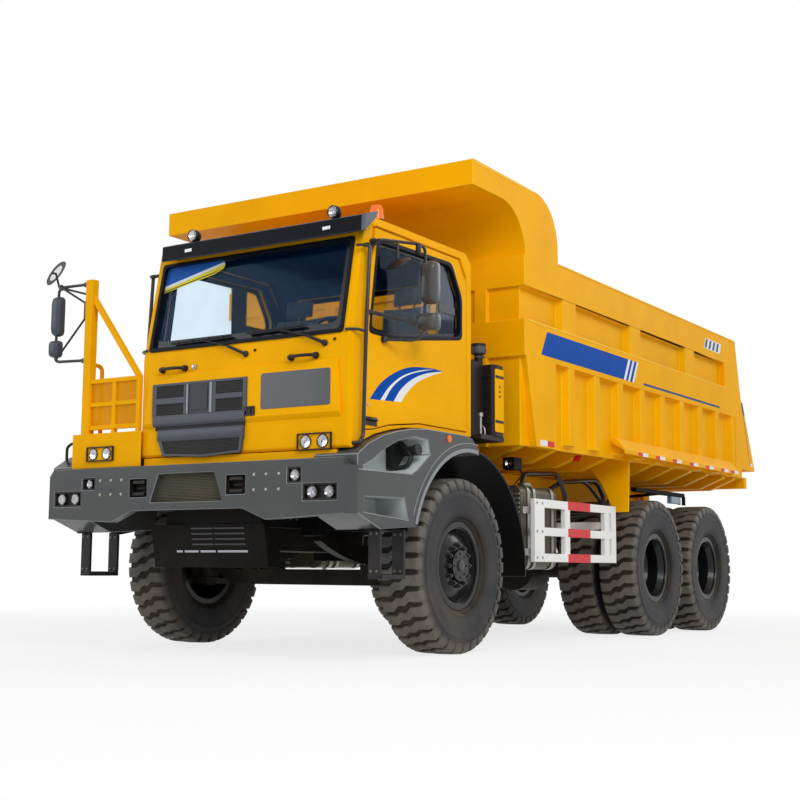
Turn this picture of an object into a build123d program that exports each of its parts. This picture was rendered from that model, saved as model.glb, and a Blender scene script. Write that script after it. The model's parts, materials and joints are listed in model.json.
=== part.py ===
"""Wide-body mining dump truck, 6x4, 8.4 m long and 3.9 m high.

Millimetres. The front of the truck faces -Y, its left side faces +X and +Z is up. The origin is
on the ground, in the middle of the truck's length and width. Each sub-part is written to its own
STEP file.
"""

import math
import os

from build123d import *

# ---------------------------------------------------------------- driving dimensions
LENGTH = 8400
FRONT_Y = -LENGTH / 2
TAIL_Y = LENGTH / 2
FRONT_AXLE_Y = -2600
REAR_AXLE_YS = (1200, 2700)

TYRE_R = 685
TYRE_WIDTH = 375
RIM_R = 318
RIM_WIDTH = 280
HUB_Z = TYRE_R
FRONT_WHEEL_X = 1280
REAR_WHEEL_XS = (925, 1375)
KINGPIN_X = 1120

RAIL_XS = (385, 475)
RAIL_ZS = (960, 1290)
RAIL_YS = (-3880, 3380)

BED_HINGE = (3300, 1330)
BED_TILT = 48
TAILGATE_HINGE = (3500, 3240)
HOIST_BASE = (1950, 620)
HOIST_TOP = (1450, 1470)
HOIST_X = 230

BODY_HALF_WIDTH = 1620
BED_WALL_X = 1540
BED_FLOOR_Z = 1750
BED_RAIL_ZS = (3045, 3350)
BED_BAND_ZS = (2445, 2760)
BED_FRONT_Y = -1810
BED_REAR_Y = 3680

CAB_XS = (-570, 1420)
CAB_YS = (-4100, -2400)
CAB_WALL = 60
CAB_FLOOR_Z = 1780
CAB_ROOF_Z = 3205
WAIST_Z = 2300

PIN_GAP = 0.5
GAP = 8


# ---------------------------------------------------------------- shapes used throughout
def block(x0, x1, y0, y1, z0, z1):
    """A box between two corners."""
    middle = Pos((x0 + x1) / 2, (y0 + y1) / 2, (z0 + z1) / 2)
    return middle * Box(abs(x1 - x0), abs(y1 - y0), abs(z1 - z0))


def side_slab(outline, x0, x1):
    """A (y, z) outline, as points or as edges, thickened from x0 to x1."""
    return Pos(x0, 0, 0) * extrude(Plane.YZ * flat_face(outline), amount=x1 - x0, dir=(1, 0, 0))


def front_slab(outline, y0, y1):
    """An (x, z) outline thickened from y0 to y1."""
    return Pos(0, y0, 0) * extrude(Plane.XZ * flat_face(outline), amount=y1 - y0, dir=(0, 1, 0))


def plan_slab(outline, z0, z1):
    """An (x, y) outline thickened from z0 to z1."""
    return Pos(0, 0, z0) * extrude(flat_face(outline), amount=z1 - z0, dir=(0, 0, 1))


def flat_face(outline):
    if isinstance(outline[0], tuple):
        return make_face(Polyline(*outline, close=True))
    return make_face(Curve() + outline)


def rod(start, end, radius):
    """A round bar between two points."""
    run = Vector(*end) - Vector(*start)
    return extrude(Plane(origin=start, z_dir=run) * Circle(radius), amount=run.length)


def bent_tube(points, radius, bend):
    """A round tube along straight runs joined by arcs."""
    path = FilletPolyline(*points, radius=bend)
    return sweep(Plane(origin=path @ 0, z_dir=path % 0) * Circle(radius), path=path)


def cross_rod(x0, x1, y, z, radius):
    """A round bar along X."""
    return rod((x0, y, z), (x1, y, z), radius)


def mirrored(shape):
    return mirror(shape, about=Plane.YZ)


def both_sides(shape):
    return shape + mirrored(shape)


PARTS = {}


def keep(name, shape):
    """Files a finished sub-part under its node's name."""
    PARTS[name] = shape


# ---------------------------------------------------------------- ladder frame
BRACKET_XS = (475, 520)
EAR_XS = (528, 573)
HINGE_PIN_R = 50
CROSS_MEMBERS = (  # y0, y1, z0, z1
    (-3880, -3760, 980, 1270),
    (-1560, -1440, 980, 1270),
    (-360, -240, 980, 1270),
    (780, 900, 1010, 1270),
    (3140, 3380, 980, 1270),
)
BED_PADS_Y = (-1500, -900, -100, 700, 2300)
PAD_TOP_Z = 1352
SPRING_XS = (560, 640)
FRONT_SPRING_YS = (-3350, -1850)
TRUNNION = (1950, 800)
TRUNNION_R = 85
SADDLE_TOP_Z = 891
EAR = 25
REAR_TOW_ZS = (1060, 1180)
REAR_TOW_PIN_R = 30


def frame_rails():
    rail = block(*RAIL_XS, *RAIL_YS, *RAIL_ZS)
    hinge_y, hinge_z = BED_HINGE
    bracket = block(*BRACKET_XS, hinge_y - 150, hinge_y + 80, RAIL_ZS[0] + 20, hinge_z)
    bracket += cross_rod(*BRACKET_XS, hinge_y, hinge_z, 80)
    side = rail + bracket + cross_rod(BRACKET_XS[0], EAR_XS[1] + 12, hinge_y, hinge_z, HINGE_PIN_R)
    side += block(*BRACKET_XS, TRUNNION[0] - 170, TRUNNION[0] + 170, 700, RAIL_ZS[1] - 40)
    side += cross_rod(BRACKET_XS[0], 700, *TRUNNION, TRUNNION_R)
    side += block(BRACKET_XS[0], 660, TRUNNION[0] - 110, TRUNNION[0] + 110, TRUNNION[1], SADDLE_TOP_Z)
    side += block(345, RAIL_XS[0], HOIST_BASE[0] - 110, HOIST_BASE[0] + 110, 550, RAIL_ZS[1] - 40)
    for spring_end in FRONT_SPRING_YS:
        side += block(RAIL_XS[1], SPRING_XS[1] + 20, spring_end - 45, spring_end + 45, 905, 1060)
    for y in BED_PADS_Y:
        side += block(RAIL_XS[0] + 10, RAIL_XS[1] - 10, y - 90, y + 90, RAIL_ZS[1], PAD_TOP_Z)
    return both_sides(side)


def cross_members():
    """The bars between the rails, the bar that the hoist stands on, and the rear towing clevis."""
    bars = cross_rod(-345, 345, *HOIST_BASE, HOIST_PIN_R)
    for y0, y1, z0, z1 in CROSS_MEMBERS:
        bars += block(-RAIL_XS[0], RAIL_XS[0], y0, y1, z0, z1)
    return bars + rear_tow_clevis()


def rear_tow_clevis():
    """Two flat ears behind the last cross member, bored for a drop-in towing pin."""
    y = RAIL_YS[1]
    z0, z1 = REAR_TOW_ZS
    ears = None
    for z in (z0, z1 - EAR):
        ear = block(-70, 70, y, y + 60, z, z + EAR) + rod((0, y + 60, z), (0, y + 60, z + EAR), 70)
        ears = ear if ears is None else ears + ear
    return ears - rod((0, y + 60, z0 - 5), (0, y + 60, z1 + 5), REAR_TOW_PIN_R)


# ---------------------------------------------------------------- hoist: one cylinder pair
HOIST_PIN_R = 50
hoist_run = Vector(0, HOIST_TOP[0] - HOIST_BASE[0], HOIST_TOP[1] - HOIST_BASE[1])
hoist_length = hoist_run.length
BARREL_LENGTH = 860
BARREL_R = (95, 84)
STAGE_R = (83.5, 70)
ROD_R = 69.5
EYE_WIDTH = 160
CHEEK_GAP = 8
CHEEK = 30


def along_hoist(distance, x=HOIST_X):
    """A point on a cylinder's axis, from its lower eye towards its upper eye."""
    step = hoist_run * (distance / hoist_length)
    return (x, HOIST_BASE[0] + step.Y, HOIST_BASE[1] + step.Z)


def hoist_tube(start, end, outer, inner):
    tube = rod(along_hoist(start), along_hoist(end), outer)
    return tube - rod(along_hoist(start - 5), along_hoist(end + 5), inner)


def hoist_barrels():
    barrel = rod(along_hoist(0), along_hoist(BARREL_LENGTH), BARREL_R[0])
    barrel += cross_rod(HOIST_X - 95, HOIST_X + 95, *HOIST_BASE, 95)
    barrel -= rod(along_hoist(105), along_hoist(BARREL_LENGTH + 5), BARREL_R[1])
    barrel -= cross_rod(HOIST_X - 100, HOIST_X + 100, *HOIST_BASE, HOIST_PIN_R + PIN_GAP)
    return both_sides(barrel)


def hoist_stages():
    return both_sides(hoist_tube(112, BARREL_LENGTH + 22, *STAGE_R))


def hoist_rods():
    rod_solid = rod(along_hoist(118), along_hoist(hoist_length - 20), ROD_R)
    eye = cross_rod(HOIST_X - EYE_WIDTH / 2, HOIST_X + EYE_WIDTH / 2, *HOIST_TOP, 75)
    return both_sides(rod_solid + eye)


# ---------------------------------------------------------------- axles and springs
BEAM_HALF_DEPTH = 55
BOSS_ZS = (585, 785)
PIN_R = 40
EAR_THICKNESS = 60


def front_axle_beam():
    half = [
        (0, 520), (830, 520), (985, 625), (KINGPIN_X, 630),
        (KINGPIN_X, 740), (985, 740), (800, 650), (0, 650),
    ]
    beam_ys = (FRONT_AXLE_Y - BEAM_HALF_DEPTH, FRONT_AXLE_Y + BEAM_HALF_DEPTH)
    side = front_slab(half, *beam_ys)
    side += rod((KINGPIN_X, FRONT_AXLE_Y, BOSS_ZS[0]), (KINGPIN_X, FRONT_AXLE_Y, BOSS_ZS[1]), 75)
    side += rod((KINGPIN_X, FRONT_AXLE_Y, 505), (KINGPIN_X, FRONT_AXLE_Y, 865), PIN_R)
    side += block(*SPRING_XS, FRONT_AXLE_Y - 110, FRONT_AXLE_Y + 110, 640, 690)
    return both_sides(side)


REAR_TUBE_R = 110
SPINDLE_R = 80
HUB_INNER_X = 745


def rear_axles():
    axles = None
    for y in REAR_AXLE_YS:
        tube = cross_rod(-(HUB_INNER_X - 10), HUB_INNER_X - 10, y, HUB_Z, REAR_TUBE_R)
        tube += cross_rod(-1300, 1300, y, HUB_Z, SPINDLE_R)
        tube += rod((0, y - 230, HUB_Z), (0, y + 200, HUB_Z), 245)
        tube += rod((0, y - 250, HUB_Z + 115), (0, y + 240, HUB_Z + 115), 95)
        seat = block(*REAR_SPRING_XS, y - 100, y + 100, HUB_Z, REAR_SPRING_ZS[0])
        tube += both_sides(seat)
        axles = tube if axles is None else axles + tube
    return axles


REAR_SPRING_XS = (545, 645)
REAR_SPRING_ZS = (835, 893)


def leaf_arc(y0, y1, end_z, middle_z, thickness_end, thickness_middle, xs):
    """A leaf pack: an arc above and an arc below, thick in the middle."""
    middle_y = (y0 + y1) / 2
    top = ThreePointArc(
        (y0, end_z + thickness_end), (middle_y, middle_z + thickness_middle), (y1, end_z + thickness_end)
    )
    under = ThreePointArc((y0, end_z), (middle_y, middle_z), (y1, end_z))
    ends = [Line(top @ 0, under @ 0), Line(top @ 1, under @ 1)]
    return side_slab([top, ends[1], under, ends[0]], *xs)


def leaf_springs():
    front_y0, front_y1 = FRONT_SPRING_YS
    front = leaf_arc(front_y0, front_y1, 865, 690, 40, 150, SPRING_XS)
    rear = leaf_arc(REAR_AXLE_YS[0] - 60, REAR_AXLE_YS[1] + 60, *REAR_SPRING_ZS, 40, 150, REAR_SPRING_XS)
    return both_sides(front + rear)


SHAFT_Z = HUB_Z + 115


def drive_shafts():
    first = rod((0, GEARBOX_YS[1], SHAFT_Z), (0, REAR_AXLE_YS[0] - 250, SHAFT_Z), 60)
    second = rod((0, REAR_AXLE_YS[0] + 240, SHAFT_Z), (0, REAR_AXLE_YS[1] - 250, SHAFT_Z), 50)
    return first + second


# ---------------------------------------------------------------- steering
STEERING_ARM = 210
ARM_ZS = (517, 562)
TIE_ROD_ZS = (570, 628)
BALL_PIN_R = 24


def left_knuckle():
    y = FRONT_AXLE_Y
    ears = None
    for z0 in (BOSS_ZS[1] + GAP, BOSS_ZS[0] - GAP - EAR_THICKNESS):
        ear = rod((KINGPIN_X, y, z0), (KINGPIN_X, y, z0 + EAR_THICKNESS), 75)
        ear += block(KINGPIN_X, 1250, y - 75, y + 75, z0, z0 + EAR_THICKNESS)
        ears = ear if ears is None else ears + ear
    flange = block(1205, 1250, y - 75, y + 75, BOSS_ZS[0] - GAP - EAR_THICKNESS,
                   BOSS_ZS[1] + GAP + EAR_THICKNESS)
    knuckle = ears + flange + cross_rod(1205, 1262, y, HUB_Z, 125)
    knuckle += cross_rod(1250, 1420, y, HUB_Z, 60)
    tip_y = y + STEERING_ARM
    arm = [(KINGPIN_X - 60, y + 20), (KINGPIN_X + 60, y + 20), (KINGPIN_X + 35, tip_y),
           (KINGPIN_X - 35, tip_y)]
    knuckle += plan_slab(arm, *ARM_ZS)
    knuckle += rod((KINGPIN_X, tip_y, ARM_ZS[0]), (KINGPIN_X, tip_y, TIE_ROD_ZS[1] + 12), BALL_PIN_R)
    knuckle -= rod((KINGPIN_X, y, 500), (KINGPIN_X, y, 870), PIN_R + PIN_GAP)
    return knuckle


def tie_rod():
    """The bar between both steering arms, with an eye over each arm's pin."""
    x, y = KINGPIN_X, FRONT_AXLE_Y + STEERING_ARM
    z0, z1 = TIE_ROD_ZS
    bar = cross_rod(-x + 20, x - 20, y, (z0 + z1) / 2, 26)
    for side in (-1, 1):
        bar += rod((side * x, y, z0), (side * x, y, z1), 40)
    for side in (-1, 1):
        bar -= rod((side * x, y, z0 - 10), (side * x, y, z1 + 10), BALL_PIN_R + PIN_GAP)
    return bar


# ---------------------------------------------------------------- wheels
def tyre(x, y):
    """One tyre: bead, bulged side wall, square shoulder, flat tread."""
    half = TYRE_WIDTH / 2
    bead = RIM_WIDTH / 2 - 16
    flange_top = RIM_R + 30
    shoulder = TYRE_R - 25
    belly_r = (RIM_R + shoulder) / 2 + 10
    profile = [
        Line((-bead, RIM_R + 1), (bead, RIM_R + 1)),
        Line((bead, RIM_R + 1), (bead, flange_top)),
        Line((bead, flange_top), (bead + 20, flange_top)),
        ThreePointArc((bead + 20, flange_top), (half, belly_r), (half - 12, shoulder)),
        Line((half - 12, shoulder), (half - 45, TYRE_R)),
        Line((half - 45, TYRE_R), (-half + 45, TYRE_R)),
        Line((-half + 45, TYRE_R), (-half + 12, shoulder)),
        ThreePointArc((-half + 12, shoulder), (-half, belly_r), (-bead - 20, flange_top)),
        Line((-bead - 20, flange_top), (-bead, flange_top)),
        Line((-bead, flange_top), (-bead, RIM_R + 1)),
    ]
    ring = revolve(make_face(Curve() + profile), axis=Axis.X)
    return Pos(x, y, HUB_Z) * ring


def turned(profile, y):
    """An (x, radius) outline turned about a wheel's axis."""
    return Pos(0, y, HUB_Z) * revolve(make_face(Polyline(*profile, close=True)), axis=Axis.X)


RIM_WALL = 16
WELL_R = 268


def rim_barrel(x, y):
    half = RIM_WIDTH / 2
    profile = [
        (x - half, RIM_R + 26), (x - half + 12, RIM_R + 26), (x - half + 14, RIM_R),
        (x + half - 14, RIM_R), (x + half - 12, RIM_R + 26), (x + half, RIM_R + 26),
        (x + half, RIM_R - RIM_WALL), (x + 60, WELL_R), (x - 60, WELL_R), (x - half, RIM_R - RIM_WALL),
    ]
    return turned(profile, y)


def front_rim():
    """Rim, dished disc and hub of a left front wheel, in one solid."""
    x = FRONT_WHEEL_X
    disc = [(1335, WELL_R + 4), (1360, WELL_R + 4), (1405, 190), (1405, 62 + PIN_GAP), (1275, 62 + PIN_GAP),
            (1275, 120), (1375, 130), (1375, 180)]
    hub = [(1400, 62 + PIN_GAP), (1400, 130), (1440, 120), (1440, 0), (1428, 0), (1428, 62 + PIN_GAP)]
    return rim_barrel(x, FRONT_AXLE_Y) + turned(disc, FRONT_AXLE_Y) + turned(hub, FRONT_AXLE_Y)


def rear_rims(y):
    """Both rims, their discs, the brake drum and the hub of a left rear wheel."""
    inner_x, outer_x = REAR_WHEEL_XS
    bore = SPINDLE_R + 1
    hub = [
        (HUB_INNER_X, bore), (HUB_INNER_X, 205), (905, 205), (905, 150), (1300, 140), (1345, 120),
        (1345, 0), (1310, 0), (1310, bore),
    ]
    inner_disc = [(inner_x + 40, WELL_R + 6), (inner_x + 70, WELL_R + 6), (1150, 190), (1150, 120),
                  (1125, 120), (1125, 180)]
    outer_disc = [(outer_x - 70, WELL_R + 6), (outer_x - 40, WELL_R + 6), (1175, 180), (1175, 120),
                  (1150, 120), (1150, 190)]
    return (rim_barrel(inner_x, y) + rim_barrel(outer_x, y) + turned(hub, y)
            + turned(inner_disc, y) + turned(outer_disc, y))


# ---------------------------------------------------------------- engine and what hangs below
GEARBOX_YS = (-2300, -1650)


def engine_block():
    return block(-330, 330, -3600, GEARBOX_YS[0], 790, 1600) + block(-210, 210, *GEARBOX_YS, 720, 1000)


def front_underguard():
    """A louvred plate below the bumper that guards the cooler, with its two side cheeks."""
    plate = side_slab([(-3960, 985), (-3940, 985), (-3880, 660), (-3900, 660)], -560, 560)
    cheeks = side_slab([(-3940, 985), (-3880, 660), (-3760, 660), (-3760, 955), (-3880, 955)], 530, 560)
    return plate + both_sides(cheeks)


TANK_XS = (760, 1350)
TANK_YS = (-1420, -720)
TANK_ZS = (665, 1385)


def side_tanks():
    """Fuel tank on the left and hydraulic oil tank on the right, each on two hangers."""
    tank = block(*TANK_XS, *TANK_YS, *TANK_ZS)
    tank = fillet(tank.edges().filter_by(Axis.Y), radius=70)
    for y in (-1300, -920):
        tank += block(RAIL_XS[1], TANK_XS[0], y, y + 80, 980, 1060)
    return both_sides(tank)


GUARD_XS = (1455, 1500)
GUARD_YS = (-1440, 270)
GUARD_RAIL_ZS = (725, 950, 1193)
GUARD_RAIL = 72
GUARD_UPRIGHTS = (  # y0, y1
    (-1440, -1255),
    (-846, -746),
    (11, 117),
    (164, 270),
)


def side_guards():
    """A flat frame between the axles on each side, fixed to the tank and to an arm from the rail."""
    top_z = GUARD_RAIL_ZS[-1] + GUARD_RAIL
    frame = None
    for z in GUARD_RAIL_ZS:
        bar = block(*GUARD_XS, *GUARD_YS, z, z + GUARD_RAIL)
        frame = bar if frame is None else frame + bar
    for y0, y1 in GUARD_UPRIGHTS:
        frame += block(*GUARD_XS, y0, y1, GUARD_RAIL_ZS[0], top_z)
    for z in (780, 1140):
        frame += block(TANK_XS[1], GUARD_XS[0], -1380, -1300, z, z + 60)
    frame += block(RAIL_XS[1], GUARD_XS[0], 30, 100, 1040, 1110)
    return both_sides(frame)


# ---------------------------------------------------------------- bumper, fenders, deck
BUMPER_ZS = (1085, 1425)
BUMPER_HALF = 1448
BUMPER_BACK_Y = -4122
FRONT_TOW_X = 481
FRONT_TOW_ZS = (1200, 1315)
TOW_PIN_R = 26
LAMP_POCKET = 40
BUMPER_LAMPS = (  # x0, x1, z0, z1
    (1087, 1386, 1128, 1248),
    (-1390, -1090, 1128, 1248),
    (950, 1075, 1255, 1368),
    (-1082, -940, 1255, 1350),
)


def front_bumper():
    """A folded steel bumper: raised centre, chamfered ends, a mesh opening and towing eyes."""
    plan = [(-1510, -4130), (-BUMPER_HALF, FRONT_Y), (BUMPER_HALF, FRONT_Y), (1510, -4130),
            (1510, BUMPER_BACK_Y), (-1510, BUMPER_BACK_Y)]
    bar = plan_slab(plan, 1000, BUMPER_ZS[1])
    ys = (FRONT_Y - 10, BUMPER_BACK_Y + 10)
    below = [(-1600, 990), (-1600, 1040), (-760, 1000), (-545, BUMPER_ZS[0]), (545, BUMPER_ZS[0]),
             (760, 1000), (1600, 1040), (1600, 990)]
    bar -= front_slab(below, *ys)
    corner = [(1400, 1430), (1450, 1370), (1600, 1370), (1600, 1430)]
    bar -= both_sides(front_slab(corner, *ys))
    mesh = [(-275, 1358), (275, 1358), (358, 1144), (-358, 1144)]
    bar -= front_slab(mesh, *ys)
    for x0, x1, z0, z1 in BUMPER_LAMPS:
        bar -= block(x0, x1, FRONT_Y - 10, FRONT_Y + LAMP_POCKET, z0, z1)
    for x in (-FRONT_TOW_X, FRONT_TOW_X):
        bar = with_tow_eye(bar, x)
    mounts = block(*RAIL_XS, BUMPER_BACK_Y, RAIL_YS[0], 1090, 1270)
    return bar + both_sides(mounts)


def with_tow_eye(bar, x):
    """The bumper with a square pocket and two ears, bored right through for a towing pin."""
    z0, z1 = FRONT_TOW_ZS
    back_y = BUMPER_BACK_Y + 20
    bar -= block(x - 89, x + 89, FRONT_Y - 10, BUMPER_BACK_Y + 10, z0 - 12, z1 + 12)
    bar += block(x - 110, x + 110, BUMPER_BACK_Y, back_y, z0 - 32, z1 + 32)
    for z in (z0, z1 - EAR):
        bar += block(x - 60, x + 60, FRONT_Y + 4, back_y, z, z + EAR)
    pin_y = FRONT_Y + 42
    return bar - rod((x, pin_y, BUMPER_ZS[0] - 5), (x, pin_y, BUMPER_ZS[1] + 5), TOW_PIN_R)


ARCH_CENTRE = (-2540, 735)
ARCH_R = 835
FENDER_XS = (1120, 1500)
FENDER_TOP = [(-4118, 1450), (-3980, 1535), (-3790, 1608), (-3590, 1655), (-3400, 1687),
              (-3190, 1703), (-2640, 1703), (-2520, 1685), (-2405, 1605)]
STEP_WELL = [(-4050, 1352), (-4050, 1372), (-3940, 1416), (-3790, 1500), (-3610, 1578), (-3374, 1627),
             (-3190, 1620), (-3160, 1510), (-3340, 1385), (-3410, 1352)]
STEP_POCKET = [(-4020, 1155), (-3512, 1165), (-3464, 1012), (-4040, 1050)]
WELL_BACK_X = 1230


def arch_point(angle):
    """A point on the wheel arch, by its angle above level, from the front."""
    turn = math.radians(angle)
    return (ARCH_CENTRE[0] - ARCH_R * math.cos(turn), ARCH_CENTRE[1] + ARCH_R * math.sin(turn))


def fenders():
    """A grey wing over each front wheel, with a step well and a step pocket open to the side."""
    lip = ThreePointArc(arch_point(16), arch_point(60), arch_point(99))
    outer = Polyline((-4118, 1040), *FENDER_TOP)
    outline = [lip, Line(lip @ 1, outer @ 1), outer, Line((-4118, 1040), (-3835, 935)),
               Line((-3835, 935), lip @ 0)]
    fender = side_slab(outline, *FENDER_XS)
    fender -= side_slab(STEP_POCKET, WELL_BACK_X, FENDER_XS[1] + 10)
    fender -= side_slab(STEP_WELL, WELL_BACK_X, FENDER_XS[1] + 10)
    return both_sides(fender)


MUDGUARD_WALL = 12


def inner_mudguards():
    """A black sheet that carries the arch round behind each front wheel."""
    wall = MUDGUARD_WALL
    outer = ThreePointArc((-2385, 1590), (-1850, 1305), (-1590, 600))
    inner = ThreePointArc((-2385, 1590 - wall), (-1850 - wall, 1305 - wall), (-1590 - wall, 600))
    outline = [outer, Line(outer @ 1, inner @ 1), inner, Line(inner @ 0, outer @ 0)]
    return both_sides(side_slab(outline, 1060, 1490))


DECK_XS = (-1270, -580)
DECK_PANEL_X = -532
DECK_FRONT_Y = -4140
DECK_SILL_Z = 1708
DECK_SILL_BACK_Y = -3920
DECK_TOP_Z = 1730
DECK_BACK_Y = -2420
DECK_PLATE = 18


def deck_platform():
    """The walkway beside the cab: tread plate, a lower sill with its panel, and two skirts."""
    plate = DECK_PLATE
    under = DECK_TOP_Z - plate
    sill_under = DECK_SILL_Z - plate
    back_y = DECK_SILL_BACK_Y
    front = block(DECK_XS[0], DECK_PANEL_X, DECK_FRONT_Y, BUMPER_BACK_Y, 1432, DECK_SILL_Z)
    sill = block(*DECK_XS, BUMPER_BACK_Y, back_y, sill_under, DECK_SILL_Z)
    riser = block(*DECK_XS, back_y - 12, back_y, sill_under, DECK_TOP_Z)
    top = block(*DECK_XS, back_y, DECK_BACK_Y, under, DECK_TOP_Z)
    above_fender = [(y, z + FENDER_GAP) for y, z in FENDER_TOP[:-3]]
    outer = side_slab([*above_fender, (DECK_BACK_Y, above_fender[-1][1]), (DECK_BACK_Y, under),
                       (back_y, under), (back_y, sill_under), (BUMPER_BACK_Y, sill_under)],
                      DECK_XS[0], DECK_XS[0] + 30)
    inner = block(DECK_XS[1] - 30, DECK_XS[1], BUMPER_BACK_Y, DECK_BACK_Y, 1600, sill_under)
    inner += block(DECK_XS[1] - 30, DECK_XS[1], back_y, DECK_BACK_Y, sill_under, under)
    return front + sill + riser + top + outer + inner


FENDER_GAP = 8
RAILING_YS = (-4120, -4080)
RAILING_XS = (-1190, -575)
RAILING_ZS = (1740, 1926, 2113)
RAILING_BAR = 35
MIRROR_POST_TOP_Z = 2970


def deck_railing():
    """Front rail with a 2 by 2 mesh, mirror post with its brace, and the bent handrail."""
    y0, y1 = RAILING_YS
    x0, x1 = RAILING_XS
    bar = RAILING_BAR
    top_z = RAILING_ZS[-1] + bar
    rail = block(x0, x0 + 78, y0 - 12, y1 + 15, DECK_SILL_Z, MIRROR_POST_TOP_Z)
    for z in RAILING_ZS:
        rail += block(x0, x1, y0, y1, z, z + bar)
    for x in (-872, x1 - bar):
        rail += block(x, x + bar, y0, y1, DECK_SILL_Z, top_z)
    mesh_y = (y0 + y1) / 2
    for z, next_z in zip(RAILING_ZS, RAILING_ZS[1:]):
        rail += block(x0 + bar, x1 - bar, mesh_y - 3, mesh_y + 3, z + bar, next_z)
    rail += front_slab([(x0 + 78, 2842), (x0 + 78, 2771), (x1 - 52, top_z), (x1, top_z)], y0, y1)
    hand = bent_tube([(x0 + 40, y1, 2280), (x0 + 40, -3960, 2280), (x0 + 40, -3960, DECK_SILL_Z)], 17, 60)
    return rail + hand


STEP_X = 1430
STEP_YS = (-3790, -3480)
STEP_TREAD_Z = 585


def access_steps():
    """A stirrup step hung from each fender: two stringers and a tread."""
    ladder = None
    for y, top_z in zip(STEP_YS, (934, 944)):
        side = block(STEP_X - 50, STEP_X + 50, y - 12, y + 12, STEP_TREAD_Z, top_z)
        ladder = side if ladder is None else ladder + side
    ladder += block(STEP_X - 60, STEP_X + 60, *STEP_YS, STEP_TREAD_Z, STEP_TREAD_Z + 28)
    return both_sides(ladder)


# ---------------------------------------------------------------- cab
DOOR_YS = (-3930, -2480)
DOOR_TOP_Z = 3130
GLASS = 8
cab_underside = [(y, z + FENDER_GAP) for y, z in FENDER_TOP[5:0:-1]]
cab_outline = [
    (-4100, 1478), (-4100, WAIST_Z), (-3945, 3115), (-3880, CAB_ROOF_Z), (-2490, CAB_ROOF_Z),
    (-2400, 3125), (-2400, cab_underside[0][1]), *cab_underside,
]
cab_inside = [
    (-4040, CAB_FLOOR_Z), (-4040, WAIST_Z), (-3888, 3100), (-3860, CAB_ROOF_Z - 55),
    (-2500, CAB_ROOF_Z - 55), (-2460, 3100), (-2460, CAB_FLOOR_Z),
]
door_sides_and_top = [(-3930, 2340), (-3800, DOOR_TOP_Z), (-2600, DOOR_TOP_Z), (DOOR_YS[1], 2960),
                      (DOOR_YS[1], 1750)]
left_door_outline = [(DOOR_YS[0], 1640), *door_sides_and_top, (-3190, 1750), (-3600, 1702), (-3800, 1655)]
right_door_outline = [(DOOR_YS[0], 1750), *door_sides_and_top]
window_outline = [(-3870, 2350), (-3770, 3050), (-2720, 3070), (-2560, 2820), (-2560, 2490), (-3500, 2350)]
screen_outline = [(-490, 2330), (1340, 2330), (1340, 3035), (-490, 3035)]
SCREEN_BOTTOM = (-4100, 2330)
SCREEN_TOP = (-3960, 3035)
REAR_WINDOW = (-300, 1150, 2450, 3000)


def grown(outline, amount):
    """An outline moved outwards all round by a small amount."""
    return offset(flat_face(outline), amount=amount, kind=Kind.INTERSECTION)


def slab_of(face, x0, x1):
    return Pos(x0, 0, 0) * extrude(Plane.YZ * face, amount=x1 - x0, dir=(1, 0, 0))


def cab_shell():
    """The cab's sheet-metal box: floor, roof, pillars, front and back, with every opening cut."""
    shell = side_slab(cab_outline, *CAB_XS)
    inner_x = (CAB_XS[0] + CAB_WALL, CAB_XS[1] - CAB_WALL)
    shell -= side_slab(cab_inside, *inner_x)
    shell -= block(*inner_x, CAB_YS[0] + CAB_WALL, CAB_YS[1] + 10, 1400, CAB_FLOOR_Z - CAB_WALL)
    shell -= slab_of(grown(right_door_outline, GAP), CAB_XS[0] - 10, inner_x[0] + 5)
    shell -= slab_of(grown(left_door_outline, GAP), inner_x[1] - 5, CAB_XS[1] + 10)
    shell -= front_slab(screen_outline, CAB_YS[0] - 10, -3850)
    x0, x1, z0, z1 = REAR_WINDOW
    return shell - block(x0, x1, -2500, -2350, z0, z1)


def cab_glass():
    """Windscreen, set back 30 mm in its opening, and the rear window."""
    lean = (SCREEN_TOP[0] - SCREEN_BOTTOM[0]) / (SCREEN_TOP[1] - SCREEN_BOTTOM[1])
    z0, z1 = SCREEN_BOTTOM[1] + 2, SCREEN_TOP[1] - 2
    y0 = SCREEN_BOTTOM[0] + 30
    y1 = y0 + (z1 - z0) * lean
    screen = side_slab([(y0, z0), (y0 + GLASS, z0), (y1 + GLASS, z1), (y1, z1)], -488, 1338)
    x0, x1, z0, z1 = REAR_WINDOW
    return screen + block(x0 + 2, x1 - 2, -2434, -2434 + GLASS, z0 + 2, z1 - 2)


def door(outline, outer_x, inwards):
    """A door panel as thick as the cab's wall, with its window cut."""
    xs = sorted((outer_x, outer_x + inwards * CAB_WALL))
    return side_slab(outline, *xs) - side_slab(window_outline, xs[0] - 5, xs[1] + 5)


def door_glass(outer_x, inwards):
    xs = sorted((outer_x + inwards * 26, outer_x + inwards * (26 + GLASS)))
    return slab_of(grown(window_outline, -1), *xs)


def sun_visor():
    """A deep visor across the top of the windscreen, closed at both ends."""
    xs = (-440, 1500)
    wall = 12
    lip = side_slab([(-4058, 3046), (-4050, 3166), (-3888, 3222), (-3888, 3202), (-4030, 3148),
                     (-4040, 3046)], *xs)
    end = [(-4050, 3050), (-4044, 3162), (-3895, 3214), (-3912, 3168)]
    return lip + side_slab(end, xs[0], xs[0] + wall) + side_slab(end, xs[1] - wall, xs[1])


SEATS = (  # x of the seat's middle, y of its front edge
    (980, -3250),
    (-120, -3250),
)


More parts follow.
